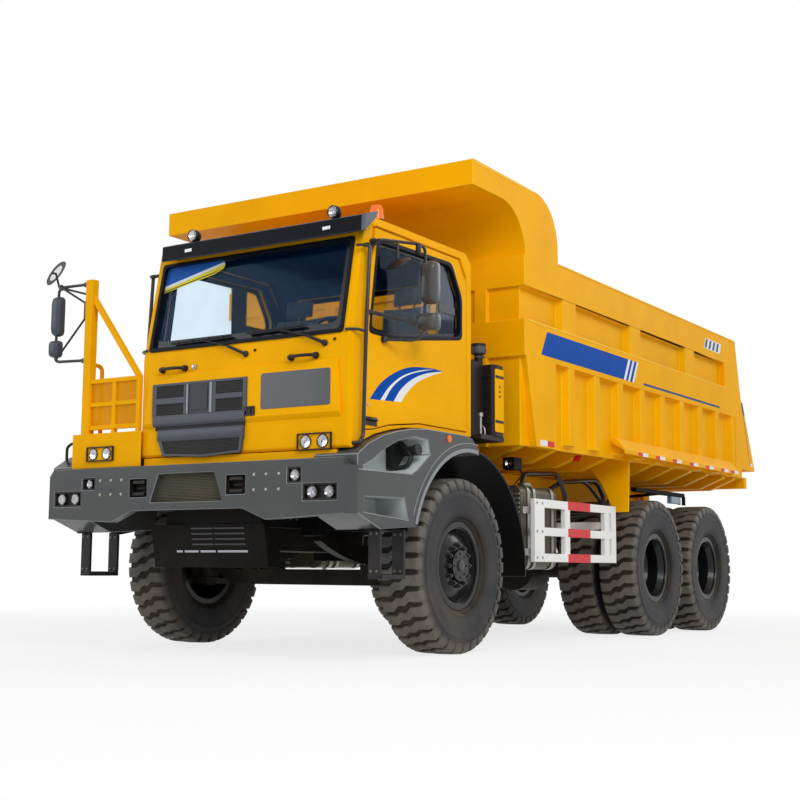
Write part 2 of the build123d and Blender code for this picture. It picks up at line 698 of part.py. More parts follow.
def seats():
    """Driver's and passenger's seat: pedestal, cushion and leaning back."""
    pair = None
    for x, y in SEATS:
        seat = block(x - 240, x + 240, y, y + 480, 2130, 2260)
        seat += side_slab([(y + 440, 2230), (y + 560, 2230), (y + 660, 2940), (y + 560, 2940)],
                          x - 230, x + 230)
        seat += block(x - 170, x + 170, y + 60, y + 420, CAB_FLOOR_Z, 2130)
        pair = seat if pair is None else pair + seat
    return pair


WHEEL_CENTRE = (980, -3560, 2390)
STEERING_WHEEL_R = 230


def dashboard():
    """Dash panel across the cab, with the column and the steering wheel."""
    panel = side_slab([(-4035, CAB_FLOOR_Z), (-4035, 2290), (-3960, 2310), (-3780, 2280),
                       (-3720, 2130), (-3860, 2060), (-3900, CAB_FLOOR_Z)], -505, 1355)
    tilt = Plane(origin=WHEEL_CENTRE, x_dir=(1, 0, 0), z_dir=(0, 0.5, 0.866))
    ring = tilt * Torus(STEERING_WHEEL_R, 17)
    spoke = tilt * Box(2 * STEERING_WHEEL_R, 50, 16)
    cross = tilt * (Pos(0, -STEERING_WHEEL_R / 2, 0) * Box(50, STEERING_WHEEL_R, 16))
    column = rod(WHEEL_CENTRE, (WHEEL_CENTRE[0], -3790, 1990), 35)
    return panel + ring + spoke + cross + column


# ---------------------------------------------------------------- what bolts to the cab
GRILLE_DEPTH = 28


def front_grille():
    """Upper and lower mesh panels in a shallow frame."""
    ys = (CAB_YS[0] - GRILLE_DEPTH, CAB_YS[0])
    upper = block(-450, 490, *ys, 1715, 2085)
    lower = front_slab([(-370, 1700), (480, 1700), (455, 1500), (100, 1482), (-310, 1500)], *ys)
    return upper + lower


PANEL_LAMPS = (  # x0, x1, y of the panel, z0, z1
    (967, 1266, CAB_YS[0], 1490, 1612),
    (-1095, -808, DECK_FRONT_Y, 1484, 1600),
)
LAMP_GAP = 3
LAMP_DEPTH = 18


def headlamps():
    """Lamps in the bumper's pockets and on the panels above it."""
    gap = LAMP_GAP
    lamps = None
    for x0, x1, z0, z1 in BUMPER_LAMPS:
        lamp = block(x0 + gap, x1 - gap, FRONT_Y + 6, FRONT_Y + LAMP_POCKET, z0 + gap, z1 - gap)
        lamps = lamp if lamps is None else lamps + lamp
    for x0, x1, panel_y, z0, z1 in PANEL_LAMPS:
        lamps += block(x0, x1, panel_y - LAMP_DEPTH, panel_y, z0, z1)
    return lamps


MIRROR_TUBE_R = 13


def mirror_head(middle, size):
    x, y, z = middle
    width, depth, height = size
    head = block(x - width / 2, x + width / 2, y - depth / 2, y + depth / 2, z - height / 2, z + height / 2)
    return fillet(head.edges().filter_by(Axis.Y), radius=min(width, height) * 0.3)


def left_mirrors():
    """Two mirror heads on a bent tube and a round one in front, all fixed to the left door."""
    x = CAB_XS[1]
    arm = bent_tube([(x + 10, -3860, 3012), (1500, -3850, 3018), (1590, -3500, 3050), (1600, -3405, 3040),
                     (1600, -3405, 2385), (1560, -3480, 2330), (x + 20, -3700, 2315)], MIRROR_TUBE_R, 40)
    arm += block(x, x + 30, -3900, -3820, 2990, 3035) + block(x, x + 30, -3740, -3660, 2290, 2340)
    for middle, size in (
        ((1628, -3390, 2777), (140, 95, 325)),
        ((1620, -3400, 2474), (180, 90, 135)),
        ((1545, -3700, 2880), (200, 100, 130)),
    ):
        arm += mirror_head(middle, size)
    return arm + block(1528, 1548, -3710, -3690, 2935, 3035)


def right_mirrors():
    """Two mirror heads and a dish on tubes that are fixed to the deck's post."""
    start_x = RAILING_XS[0]
    y = sum(RAILING_YS) / 2
    arm = bent_tube([(start_x - 20, y, 2942), (-1480, -4150, 2934), (-1500, -4150, 2318),
                     (start_x - 20, y, 2315)], MIRROR_TUBE_R, 40)
    for z0, z1 in ((2918, 2962), (2660, 2800), (2290, 2340)):
        arm += block(start_x - 40, start_x, y - 25, y + 25, z0, z1)
    for start_z, end in ((2780, (-1450, -4145, 2930)), (2680, (-1490, -4149, 2335))):
        arm += rod((start_x - 20, y, start_z), end, 9)
    for middle, size in (
        ((-1490, -4150, 2697), (100, 75, 332)),
        ((-1505, -4150, 2427), (105, 75, 141)),
    ):
        arm += mirror_head(middle, size)
    dish = rod((-1543, -4152, 3076), (-1518, -4148, 3059), 122)
    return arm + dish + rod((-1480, -4150, 2934), (-1530, -4150, 3067), 9)


def air_cleaner():
    """Behind the cab on the left: black box, filter housing and the intake's capped pipe."""
    foot = block(1130, 1500, -2380, -1990, 1700, 1740)
    box = block(1180, 1410, -2370, -2200, 1740, 2345)
    filter_case = block(1380, 1510, -2180, -2000, 1740, 2330)
    filter_case = fillet(filter_case.edges().filter_by(Axis.Z), radius=40)
    pipe = rod((1330, -2120, 1740), (1330, -2120, 2480), 36)
    cap = rod((1330, -2120, 2440), (1330, -2120, 2520), 62)
    return foot + box + filter_case + pipe + cap


# ---------------------------------------------------------------- dump bed
PLATE = 16
FLOOR_TOP_Z = BED_FLOOR_Z + 20
RIB_PITCH = 543
RIB_FIRST_Y = -920
RIB_COUNT = 9
RIB_FOOT = 240
RIB_CREST = 110
POSTS = (  # y0, y1 of the posts between the mid band and the rail
    (-1150, -770),
    (350, 730),
    (1860, 2240),
)
CANOPY_LIP_Y = -2720
CANOPY_Z = 3700
CANOPY_BEND = 430
WING_X = (1596, 1620)


def bed_wall():
    """One side wall: plate, corrugated lower part, mid band, posts and top rail."""
    outer = BODY_HALF_WIDTH
    plate = side_slab([(BED_FRONT_Y, 1690), (BED_FRONT_Y, BED_RAIL_ZS[1]), (3530, BED_RAIL_ZS[1]),
                       (3700, 2670), (BED_REAR_Y, BED_FLOOR_Z)], BED_WALL_X, BED_WALL_X + PLATE)
    wall = plate + side_slab([(BED_FRONT_Y, BED_RAIL_ZS[0]), (BED_FRONT_Y, BED_RAIL_ZS[1]),
                              (3530, BED_RAIL_ZS[1]), (3606, BED_RAIL_ZS[0])], BED_WALL_X, outer)
    wall += side_slab([(BED_FRONT_Y, BED_BAND_ZS[0]), (BED_FRONT_Y, BED_BAND_ZS[1]), (3678, BED_BAND_ZS[1]),
                       (3700, 2670), (3694, BED_BAND_ZS[0])], BED_WALL_X, outer)
    for y0, y1 in POSTS:
        wall += plan_slab([(BED_WALL_X, y0), (outer - 4, y0 + 60), (outer - 4, y1 - 60), (BED_WALL_X, y1)],
                          BED_BAND_ZS[1], BED_RAIL_ZS[0])
    wall += side_slab([(3150, BED_BAND_ZS[1]), (3150, BED_RAIL_ZS[0]), (3606, BED_RAIL_ZS[0]),
                       (3678, BED_BAND_ZS[1])], BED_WALL_X, outer)
    for index in range(RIB_COUNT):
        y = RIB_FIRST_Y + RIB_PITCH * index
        rib = [(BED_WALL_X, y - RIB_FOOT / 2), (outer - 6, y - RIB_CREST / 2),
               (outer - 6, y + RIB_CREST / 2), (BED_WALL_X, y + RIB_FOOT / 2)]
        wall += plan_slab(rib, BED_FLOOR_Z, BED_BAND_ZS[0])
    wall += side_slab([(BED_FRONT_Y, BED_BAND_ZS[0]), (-1253, BED_BAND_ZS[0]), (-1253, 1690),
                       (-1640, 1690)], BED_WALL_X, outer)
    wall += side_slab([(3480, BED_BAND_ZS[0]), (3694, BED_BAND_ZS[0]), (BED_REAR_Y, BED_FLOOR_Z),
                       (3480, BED_FLOOR_Z)], BED_WALL_X, outer)
    return wall


def bed_shell():
    """Floor, side walls, front wall and the canopy over the cab, welded into one."""
    shell = both_sides(bed_wall())
    shell += block(-BED_WALL_X, BED_WALL_X, BED_FRONT_Y, BED_REAR_Y, BED_FLOOR_Z, FLOOR_TOP_Z)
    front_y = BED_FRONT_Y
    shell += block(-BED_WALL_X, BED_WALL_X, front_y, front_y + PLATE, 1690, BED_RAIL_ZS[1] - 80)
    for z0, z1 in ((BED_BAND_ZS[0], BED_BAND_ZS[1]), (BED_RAIL_ZS[0], BED_RAIL_ZS[1] - 40)):
        shell += block(-BODY_HALF_WIDTH, BODY_HALF_WIDTH, front_y - 30, front_y, z0, z1)
    for x in (-1190, -400, 400, 1190):
        shell += block(x - 60, x + 60, front_y - 30, front_y, 1690, BED_BAND_ZS[0])
        shell += block(x - 60, x + 60, front_y - 30, front_y, BED_BAND_ZS[1], BED_RAIL_ZS[0])
    return shell + canopy() + both_sides(spill_guard() + splash_plate())


SPILL_GUARD_YS = (0, 3250)


def spill_guard():
    """A sloped plate welded along the wall's foot, over the rear wheels."""
    outer = BODY_HALF_WIDTH
    section = [(outer - 30, 1900), (outer + 12, 1900), (outer + 102, 1790), (outer + 102, 1752),
               (outer + 92, 1752), (outer + 92, 1784), (outer - 30, 1850)]
    return front_slab(section, *SPILL_GUARD_YS)


SPLASH_YS = (350, 366)


def splash_plate():
    """A three-cornered plate below the bed that keeps the rear wheels' mud off the tanks."""
    top_z = BED_FLOOR_Z
    outline = [Line((1597, 1216), (1612, top_z)), Line((1612, top_z), (1180, top_z)),
               Line((1180, top_z), (1197, 1640)), ThreePointArc((1197, 1640), (1330, 1460), (1425, 1216)),
               Line((1425, 1216), (1597, 1216))]
    return front_slab(outline, *SPLASH_YS)


def canopy():
    """The sheet over the cab, its front lip, the ribs on top and the two side wings."""
    bend_y = front_bend_y()
    under = [
        Line((CANOPY_LIP_Y, CANOPY_Z), (bend_y, CANOPY_Z)),
        RadiusArc((bend_y, CANOPY_Z), (BED_FRONT_Y, CANOPY_Z - CANOPY_BEND), CANOPY_BEND),
        Line((BED_FRONT_Y, CANOPY_Z - CANOPY_BEND), (BED_FRONT_Y + PLATE, CANOPY_Z - CANOPY_BEND)),
        RadiusArc((BED_FRONT_Y + PLATE, CANOPY_Z - CANOPY_BEND), (bend_y, CANOPY_Z + PLATE),
                  -(CANOPY_BEND + PLATE)),
        Line((bend_y, CANOPY_Z + PLATE), (CANOPY_LIP_Y, CANOPY_Z + PLATE)),
        Line((CANOPY_LIP_Y, CANOPY_Z + PLATE), (CANOPY_LIP_Y, CANOPY_Z)),
    ]
    sheet = side_slab(under, -WING_X[0], WING_X[0])
    lip = block(-BODY_HALF_WIDTH, BODY_HALF_WIDTH, CANOPY_LIP_Y, CANOPY_LIP_Y + 60, CANOPY_Z, 3910)
    for x in (-1200, -600, 0, 600, 1200):
        lip += block(x - 40, x + 40, CANOPY_LIP_Y + 60, bend_y, CANOPY_Z + PLATE, CANOPY_Z + 90)
    return sheet + lip + both_sides(wing())


def front_bend_y():
    return BED_FRONT_Y - CANOPY_BEND


def wing():
    """The side plate that joins the canopy to the side wall, rounded behind."""
    bend_y = front_bend_y()
    outline = [
        Line((CANOPY_LIP_Y, CANOPY_Z), (bend_y, CANOPY_Z)),
        RadiusArc((bend_y, CANOPY_Z), (BED_FRONT_Y, CANOPY_Z - CANOPY_BEND), CANOPY_BEND),
        Line((BED_FRONT_Y, CANOPY_Z - CANOPY_BEND), (-1195, CANOPY_Z - CANOPY_BEND)),
        Line((-1195, CANOPY_Z - CANOPY_BEND), (-1195, 3470)),
        RadiusArc((-1195, 3470), (-1625, 3900), -430),
        Line((-1625, 3900), (CANOPY_LIP_Y, 3910)),
        Line((CANOPY_LIP_Y, 3910), (CANOPY_LIP_Y, CANOPY_Z)),
    ]
    return side_slab(outline, *WING_X)


SILL_XS = (385, 475)
SILL_ZS = (1360, 1600)
BEARER_YS = (-1640, -1040, -500, 40, 580, 1120, 1660, 2200, 2740, 3280, 3620)
BEARER_WIDTH = 90
BEARER_TIP_X = BED_WALL_X - 3
TAIL_FLOOR_Y = 4085


def bed_sills():
    """The two long sills below the bed, each with its hinge ear and its hoist clevis."""
    hinge_y, hinge_z = BED_HINGE
    sill = block(*SILL_XS, -1700, hinge_y + 60, *SILL_ZS)
    ear = block(*EAR_XS, hinge_y - 90, hinge_y + 90, hinge_z, SILL_ZS[1])
    ear += cross_rod(*EAR_XS, hinge_y, hinge_z, 90)
    ear -= cross_rod(EAR_XS[0] - 5, EAR_XS[1] + 5, hinge_y, hinge_z, HINGE_PIN_R + PIN_GAP)
    side = sill + ear
    reach = EYE_WIDTH / 2 + CHEEK_GAP
    for x in (HOIST_X - reach - CHEEK, HOIST_X + reach):
        cheek = block(x, x + CHEEK, HOIST_TOP[0] - 80, HOIST_TOP[0] + 80, HOIST_TOP[1], SILL_ZS[1])
        side += cheek + cross_rod(x, x + CHEEK, *HOIST_TOP, 80)
    side += block(HOIST_X - reach - CHEEK, RAIL_XS[0], HOIST_TOP[0] - 100, HOIST_TOP[0] + 100,
                  SILL_ZS[1] - 30, SILL_ZS[1])
    return both_sides(side)


def bed_bearers():
    """The cross bearers with their tapered ends, and the floor behind the tailgate on its beam."""
    tip = BEARER_TIP_X
    bearer = [(-1250, SILL_ZS[1]), (1250, SILL_ZS[1]), (tip, 1720), (tip, BED_FLOOR_Z),
              (-tip, BED_FLOOR_Z), (-tip, 1720)]
    bearers = None
    for y in BEARER_YS:
        bar = front_slab(bearer, y - BEARER_WIDTH / 2, y + BEARER_WIDTH / 2)
        bearers = bar if bearers is None else bearers + bar
    tail_floor = block(-tip, tip, BED_REAR_Y, TAIL_FLOOR_Y, BED_FLOOR_Z, FLOOR_TOP_Z)
    tail_beam = block(-tip, tip, TAIL_FLOOR_Y - 95, TAIL_FLOOR_Y, 1640, BED_FLOOR_Z)
    arms = both_sides(block(*SILL_XS, 3325, TAIL_FLOOR_Y - 95, 1660, BED_FLOOR_Z))
    return bearers + tail_floor + tail_beam + arms


TAILGATE_KINK = (3712, 2660)
TAILGATE_FOOT = (4150, 1850)


def tailgate():
    """A kinked gate between the side walls, flared below, with side wings and ribs."""
    hinge_y, hinge_z = TAILGATE_HINGE
    sheet = [(3525, 3300), (3600, 3300), (3790, 2660), (4200, 1850), (4100, 1850), TAILGATE_KINK]
    gate = side_slab(sheet, -(BED_WALL_X - 10), BED_WALL_X - 10)
    wings = side_slab([(TAILGATE_KINK[0] + 6, 2640), (3790, 2660), (4200, 1850), (3700, 1850)], 1585, 1605)
    wings += side_slab([(3722, 2640), (3790, 2660), (4200, 1850), (4120, 1850)], BED_WALL_X - 10, 1605)
    ears = side_slab([(3440, 3300), (3600, 3300), (3560, 3180), (3440, 3200)], 1490, 1530)
    ears += cross_rod(1490, BED_WALL_X - 3, hinge_y, hinge_z, 20)
    return gate + both_sides(wings + ears)


# ---------------------------------------------------------------- every sub-part
def build_all():
    keep("frame_rails", frame_rails())
    keep("cross_members", cross_members())
    keep("front_axle_beam", front_axle_beam())
    keep("rear_axles", rear_axles())
    keep("leaf_springs", leaf_springs())
    keep("drive_shafts", drive_shafts())
    keep("engine_block", engine_block())
    keep("front_underguard", front_underguard())
    keep("side_tanks", side_tanks())
    keep("side_guards", side_guards())
    keep("front_bumper", front_bumper())
    keep("fenders", fenders())
    keep("inner_mudguards", inner_mudguards())
    keep("deck_platform", deck_platform())
    keep("deck_railing", deck_railing())
    keep("access_steps", access_steps())
    keep("cab_shell", cab_shell())
    keep("cab_glass", cab_glass())
    keep("sun_visor", sun_visor())
    keep("seats", seats())
    keep("dashboard", dashboard())
    keep("front_grille", front_grille())
    keep("headlamps", headlamps())
    keep("air_cleaner", air_cleaner())
    keep("left_door", door(left_door_outline, CAB_XS[1], -1))
    keep("left_door_glass", door_glass(CAB_XS[1], -1))
    keep("left_mirrors", left_mirrors())
    keep("right_door", door(right_door_outline, CAB_XS[0], 1))
    keep("right_door_glass", door_glass(CAB_XS[0], 1))
    keep("right_mirrors", right_mirrors())
    keep("left_knuckle", left_knuckle())
    keep("right_knuckle", mirrored(left_knuckle()))
    keep("tie_rod", tie_rod())
    front_tyre = tyre(FRONT_WHEEL_X, FRONT_AXLE_Y)
    keep("front_left_tyre", front_tyre)
    keep("front_left_rim", front_rim())
    keep("front_right_tyre", mirrored(front_tyre))
    keep("front_right_rim", mirrored(front_rim()))
    for name, y in zip(("middle", "rear"), REAR_AXLE_YS):
        tyres = tyre(REAR_WHEEL_XS[0], y) + tyre(REAR_WHEEL_XS[1], y)
        rims = rear_rims(y)
        keep(f"{name}_left_tyres", tyres)
        keep(f"{name}_left_rims", rims)
        keep(f"{name}_right_tyres", mirrored(tyres))
        keep(f"{name}_right_rims", mirrored(rims))
    keep("bed_shell", bed_shell())
    keep("bed_sills", bed_sills())
    keep("bed_bearers", bed_bearers())
    keep("tailgate", tailgate())
    keep("hoist_barrels", hoist_barrels())
    keep("hoist_stages", hoist_stages())
    keep("hoist_rods", hoist_rods())


os.makedirs("parts", exist_ok=True)
build_all()
for node, solid in PARTS.items():
    export_step(solid, f"parts/{node}.step")
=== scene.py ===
import json
import math

import bmesh
import bpy
from mathutils import Matrix, Vector


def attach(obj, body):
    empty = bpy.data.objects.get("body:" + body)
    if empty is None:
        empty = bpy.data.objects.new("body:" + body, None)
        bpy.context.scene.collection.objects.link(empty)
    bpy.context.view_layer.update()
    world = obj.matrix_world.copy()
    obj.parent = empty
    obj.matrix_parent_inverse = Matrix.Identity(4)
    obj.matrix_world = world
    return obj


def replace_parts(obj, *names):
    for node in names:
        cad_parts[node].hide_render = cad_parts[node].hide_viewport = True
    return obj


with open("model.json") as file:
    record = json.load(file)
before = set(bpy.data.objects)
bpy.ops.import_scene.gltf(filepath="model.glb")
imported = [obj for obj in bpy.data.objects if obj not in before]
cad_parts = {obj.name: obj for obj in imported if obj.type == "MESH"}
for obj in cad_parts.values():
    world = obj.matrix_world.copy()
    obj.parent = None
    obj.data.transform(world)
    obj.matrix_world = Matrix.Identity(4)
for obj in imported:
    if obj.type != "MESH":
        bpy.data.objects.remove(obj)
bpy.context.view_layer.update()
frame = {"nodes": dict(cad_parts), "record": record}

NODE_SLOT = {row["node"]: row["material_slot"] for row in frame["record"]["subparts"]}
NODE_BODY = {
    node: body for body, nodes in frame["record"]["behaviour"]["bodies"].items() for node in nodes
}


def colour_card(red, green, blue):
    """A colour given in 0 to 255 as on a paint card, as the linear colour that a shader takes."""
    parts = [part / 255 for part in (red, green, blue)]
    return (*[p / 12.92 if p <= 0.04045 else ((p + 0.055) / 1.055) ** 2.4 for p in parts], 1.0)


def add_node(tree, kind, inputs=None, **settings):
    """Add a node, set its properties, then link or set the inputs given by name or number."""
    node = tree.nodes.new(kind)
    for name, value in settings.items():
        setattr(node, name, value)
    for key, value in (inputs or {}).items():
        if isinstance(value, bpy.types.NodeSocket):
            tree.links.new(value, node.inputs[key])
        else:
            node.inputs[key].default_value = value
    return node


def maths(tree, operation, first, second=0.0, clamped=False):
    node = add_node(tree, "ShaderNodeMath", {0: first, 1: second}, operation=operation,
                    use_clamp=clamped)
    return node.outputs[0]


def remap(tree, value, low, high, new_low=0.0, new_high=1.0):
    """Value rescaled from one range to another, and held inside the new one."""
    node = add_node(tree, "ShaderNodeMapRange", {
        "Value": value, "From Min": low, "From Max": high, "To Min": new_low, "To Max": new_high,
    })
    return node.outputs["Result"]


def blend_colours(tree, share, first, second, how="MIX"):
    node = add_node(tree, "ShaderNodeMix", {0: share, 6: first, 7: second}, data_type="RGBA",
                    blend_type=how)
    return node.outputs[2]


def new_group(name, inputs, outputs):
    """An empty shader group with the sockets of two short tables."""
    tree = bpy.data.node_groups.new(name, "ShaderNodeTree")
    for label, kind, value in inputs:
        socket = tree.interface.new_socket(label, in_out="INPUT", socket_type=f"NodeSocket{kind}")
        socket.default_value = value
    for label, kind in outputs:
        tree.interface.new_socket(label, in_out="OUTPUT", socket_type=f"NodeSocket{kind}")
    return tree, tree.nodes.new("NodeGroupInput"), tree.nodes.new("NodeGroupOutput")


DUST = colour_card(150, 132, 108)


def build_grime():
    """Site dust in clouds over any surface: thicker low down and on what faces up."""
    tree, given, out = new_group("grime", (
        ("Paint", "Color", (0.5, 0.5, 0.5, 1.0)),
        ("Dust", "Color", DUST),
        ("Amount", "Float", 0.3),
        ("Gloss", "Float", 0.35),
        ("Grain Size", "Float", 60.0),
    ), (
        ("Colour", "Color"),
        ("Roughness", "Float"),
        ("Grain", "Float"),
    ))
    place = add_node(tree, "ShaderNodeTexCoord").outputs["Object"]
    clouds = add_node(tree, "ShaderNodeTexNoise", {
        "Vector": place, "Scale": 1.9, "Detail": 7.0, "Roughness": 0.62,
    }).outputs[0]
    grain = add_node(tree, "ShaderNodeTexNoise", {
        "Vector": place, "Scale": given.outputs["Grain Size"], "Detail": 2.0,
    }).outputs[0]
    height = add_node(tree, "ShaderNodeSeparateXYZ", {0: place}).outputs["Z"]
    facing = add_node(tree, "ShaderNodeNewGeometry").outputs["Normal"]
    upward = add_node(tree, "ShaderNodeSeparateXYZ", {0: facing}).outputs["Z"]
    low_down = remap(tree, height, 1.7, 0.2, 0.12, 1.0)
    settled = remap(tree, upward, 0.4, 1.0, 0.0, 0.5)
    patches = remap(tree, clouds, 0.38, 0.66, 0.12, 1.0)
    cover = maths(tree, "MULTIPLY", maths(tree, "ADD", low_down, settled), patches)
    cover = maths(tree, "MULTIPLY", cover, given.outputs["Amount"], clamped=True)
    tone = remap(tree, clouds, 0.3, 0.7, 0.93, 1.05)
    toned = blend_colours(tree, 1.0, given.outputs["Paint"], tone, "MULTIPLY")
    dusty = blend_colours(tree, cover, toned, given.outputs["Dust"])
    rough = add_node(tree, "ShaderNodeMix", {0: cover, 2: given.outputs["Gloss"], 3: 0.85})
    speckle = remap(tree, grain, 0.3, 0.7, -0.03, 0.05)
    roughness = maths(tree, "ADD", rough.outputs[0], speckle, clamped=True)
    tree.links.new(dusty, out.inputs["Colour"])
    tree.links.new(roughness, out.inputs["Roughness"])
    tree.links.new(grain, out.inputs["Grain"])
    return tree


GRIME = build_grime()


def finish(name, paint, gloss, dust=0.25, metallic=0.0, coat=0.0, grain=60.0, depth=0.0004, shine=0.22):
    """A painted, cast or moulded surface under a little grime, its paint given as on a colour card."""
    colour = colour_card(*paint)
    material = bpy.data.materials.new(name)
    material.use_nodes = True
    material.diffuse_color = colour
    tree = material.node_tree
    shader = tree.nodes["Principled BSDF"]
    grime = add_node(tree, "ShaderNodeGroup", {
        "Paint": colour, "Amount": dust, "Gloss": gloss, "Grain Size": grain,
    }, node_tree=GRIME)
    bump = add_node(tree, "ShaderNodeBump", {
        "Height": grime.outputs["Grain"], "Strength": 0.3, "Distance": depth,
    })
    tree.links.new(grime.outputs["Colour"], shader.inputs["Base Color"])
    tree.links.new(grime.outputs["Roughness"], shader.inputs["Roughness"])
    tree.links.new(bump.outputs[0], shader.inputs["Normal"])
    shader.inputs["Metallic"].default_value = metallic
    shader.inputs["Specular IOR Level"].default_value = shine
    shader.inputs["Coat Weight"].default_value = coat
    shader.inputs["Coat Roughness"].default_value = 0.12
    return material


def settle(carrier):
    """The plain mesh that an object and its modifiers make. The object goes."""
    evaluated = carrier.evaluated_get(bpy.context.evaluated_depsgraph_get())
    mesh = bpy.data.meshes.new_from_object(evaluated)
    bpy.data.objects.remove(carrier)
    return mesh


def carry(name, mesh):
    carrier = bpy.data.objects.new(name, mesh)
    bpy.context.collection.objects.link(carrier)
    return carrier


def bevelled(name, mesh, width, limit, edge_slot=-1):
    """The mesh with its sharp edges broken by two small faces, which may take their own paint as a painted
    highlight.
    """
    carrier = carry(name, mesh)
    bevel = carrier.modifiers.new("broken edges", "BEVEL")
    bevel.width = width
    bevel.segments = 2
    bevel.limit_method = limit
    bevel.angle_limit = math.radians(32)
    bevel.use_clamp_overlap = limit == "ANGLE"
    bevel.harden_normals = True
    bevel.material = edge_slot
    return settle(carrier)


def place(name, mesh, body, slot):
    """A finished piece in the scene, riding on its body."""
    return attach(carry(name, mesh), body)


def smoothed(mesh, angle=32):
    mesh.shade_smooth()
    mesh.set_sharp_from_angle(angle=math.radians(angle))
    return mesh


def within(point, boxes):
    """Whether a point lies inside any of the boxes, each a low and a high corner."""
    return any(all(a <= c <= b for a, c, b in zip(low, point, high)) for low, high in boxes)


def eased_part(node, width, paint, edge_highlight_paint=None, round_width=0.0, round_boxes=()):
    """A merged copy of a CAD part with its long sharp edges broken, which stands for the part.

    Edges that lie inside one of the round boxes get the larger round width. Where an edge highlight paint
    is given, the broken edges wear it as a painted highlight.
    """
    bm = bmesh.new()
    bm.from_mesh(frame["nodes"][node].data)
    bmesh.ops.remove_doubles(bm, verts=bm.verts, dist=1e-5)
    bmesh.ops.dissolve_limit(bm, angle_limit=0.01, verts=bm.verts, edges=bm.edges)
    weight = bm.edges.layers.float.new("bevel_weight_edge")
    small = width / max(width, round_width)
    for edge in bm.edges:
        near = min(e.calc_length() for vert in edge.verts for e in vert.link_edges)
        if edge.calc_face_angle(0.0) > math.radians(32) and near > 2.2 * width:
            is_round = all(within(vert.co, round_boxes) for vert in edge.verts)
            edge[weight] = 1.0 if is_round else small
    mesh = bpy.data.meshes.new(node)
    bm.to_mesh(mesh)
    bm.free()
    if "custom_normal" in mesh.attributes:
        mesh.attributes.remove(mesh.attributes["custom_normal"])
    mesh.materials.clear()
    mesh.materials.append(paint)
    mesh.materials.append(edge_highlight_paint or paint)
    mesh.polygons.foreach_set("material_index", [0] * len(mesh.polygons))
    mesh = bevelled(f"{node}_eased", smoothed(mesh), max(width, round_width), "WEIGHT", 1)
    piece = place(f"{node}_eased", mesh, NODE_BODY[node], NODE_SLOT[node])
    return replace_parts(piece, node)


def dress(node, material):
    """Give a CAD part that stays as it is its material."""
    for slot in frame["nodes"][node].material_slots:
        slot.material = material


def new_shape_tree(name, inputs):
    """An empty Geometry Nodes tree with named inputs, each a label, a kind of socket and a value."""
    tree = bpy.data.node_groups.new(name, "GeometryNodeTree")
    tree.interface.new_socket("Geometry", in_out="INPUT", socket_type="NodeSocketGeometry")
    for label, kind, value in inputs:
        socket = tree.interface.new_socket(label, in_out="INPUT", socket_type=f"NodeSocket{kind}")
        if value is not None:
            socket.default_value = value
    tree.interface.new_socket("Geometry", in_out="OUTPUT", socket_type="NodeSocketGeometry")
    return tree, tree.nodes.new("NodeGroupInput"), tree.nodes.new("NodeGroupOutput")


def close_shape_tree(tree, given, out, geometry):
    """End a tree in real geometry that wears its Finish."""
    real = add_node(tree, "GeometryNodeRealizeInstances", {"Geometry": geometry})
    worn = add_node(tree, "GeometryNodeSetMaterial", {
        "Geometry": real.outputs[0], "Material": given.outputs["Finish"],
    })
    tree.links.new(worn.outputs[0], out.inputs["Geometry"])


def grown(tree, name, seed, values):
    """The plain mesh that a tree makes of a seed mesh, with its inputs set by label."""
    carrier = carry(name, seed)
    modifier = carrier.modifiers.new(tree.name, "NODES")
    modifier.node_group = tree
    for item in tree.interface.items_tree:
        if item.in_out == "INPUT" and item.name in values:
            modifier[item.identifier] = values[item.name]
    return settle(carrier)


def build_fastener_tree():
    """A hexagon head on a washer at every mark, facing the way the mark's axis points."""
    tree, given, out = new_shape_tree("fasteners", (
        ("Head Radius", "Float", 0.015),
        ("Head Height", "Float", 0.012),
        ("Washer Radius", "Float", 0.02),
        ("Washer Height", "Float", 0.003),
        ("Finish", "Material", None),
    ))
    parts = []
    for part, sides in (("Head", 6), ("Washer", 14)):
        height = given.outputs[f"{part} Height"]
        disc = add_node(tree, "GeometryNodeMeshCylinder", {
            "Vertices": sides, "Radius": given.outputs[f"{part} Radius"], "Depth": height,
        })
        lift = maths(tree, "MULTIPLY", height, 0.5)
        if part == "Head":
            lift = maths(tree, "ADD", lift, given.outputs["Washer Height"])
        up = add_node(tree, "ShaderNodeCombineXYZ", {"Z": lift})
        parts.append(add_node(tree, "GeometryNodeTransform", {
            "Geometry": disc.outputs["Mesh"], "Translation": up.outputs[0],
        }).outputs[0])
    bolt = add_node(tree, "GeometryNodeJoinGeometry")
    for part in parts:
        tree.links.new(part, bolt.inputs[0])
    axis = add_node(tree, "GeometryNodeInputNamedAttribute", {"Name": "axis"}, data_type="FLOAT_VECTOR")
    turn = add_node(tree, "FunctionNodeAlignRotationToVector", {"Vector": axis.outputs[0]}, axis="Z")
    heads = add_node(tree, "GeometryNodeInstanceOnPoints", {
        "Points": given.outputs["Geometry"], "Instance": bolt.outputs[0], "Rotation": turn.outputs[0],
    })
    close_shape_tree(tree, given, out, heads.outputs[0])
    return tree


FASTENERS = build_fastener_tree()


def marks(points):
    """A mesh of loose points from (place, direction) pairs."""
    mesh = bpy.data.meshes.new("marks")
    mesh.from_pydata([place_at for place_at, _ in points], [], [])
    axis = mesh.attributes.new("axis", "FLOAT_VECTOR", "POINT")
    for item, (_, direction) in zip(axis.data, points):
        item.vector = direction
    return mesh


def bolt_on(name, points, radius, height, material, body="chassis", slot="chassis_black"):
    """Bolts at (place, direction) pairs, as one piece."""
    mesh = grown(FASTENERS, name, marks(points), {
        "Head Radius": radius, "Head Height": height, "Washer Radius": radius * 1.35,
        "Washer Height": height * 0.25, "Finish": material,
    })
    return place(name, mesh, body, slot)


def spread(first, last, count):
    """Evenly spaced values from first to last."""
    return [first + (last - first) * index / (count - 1) for index in range(count)]
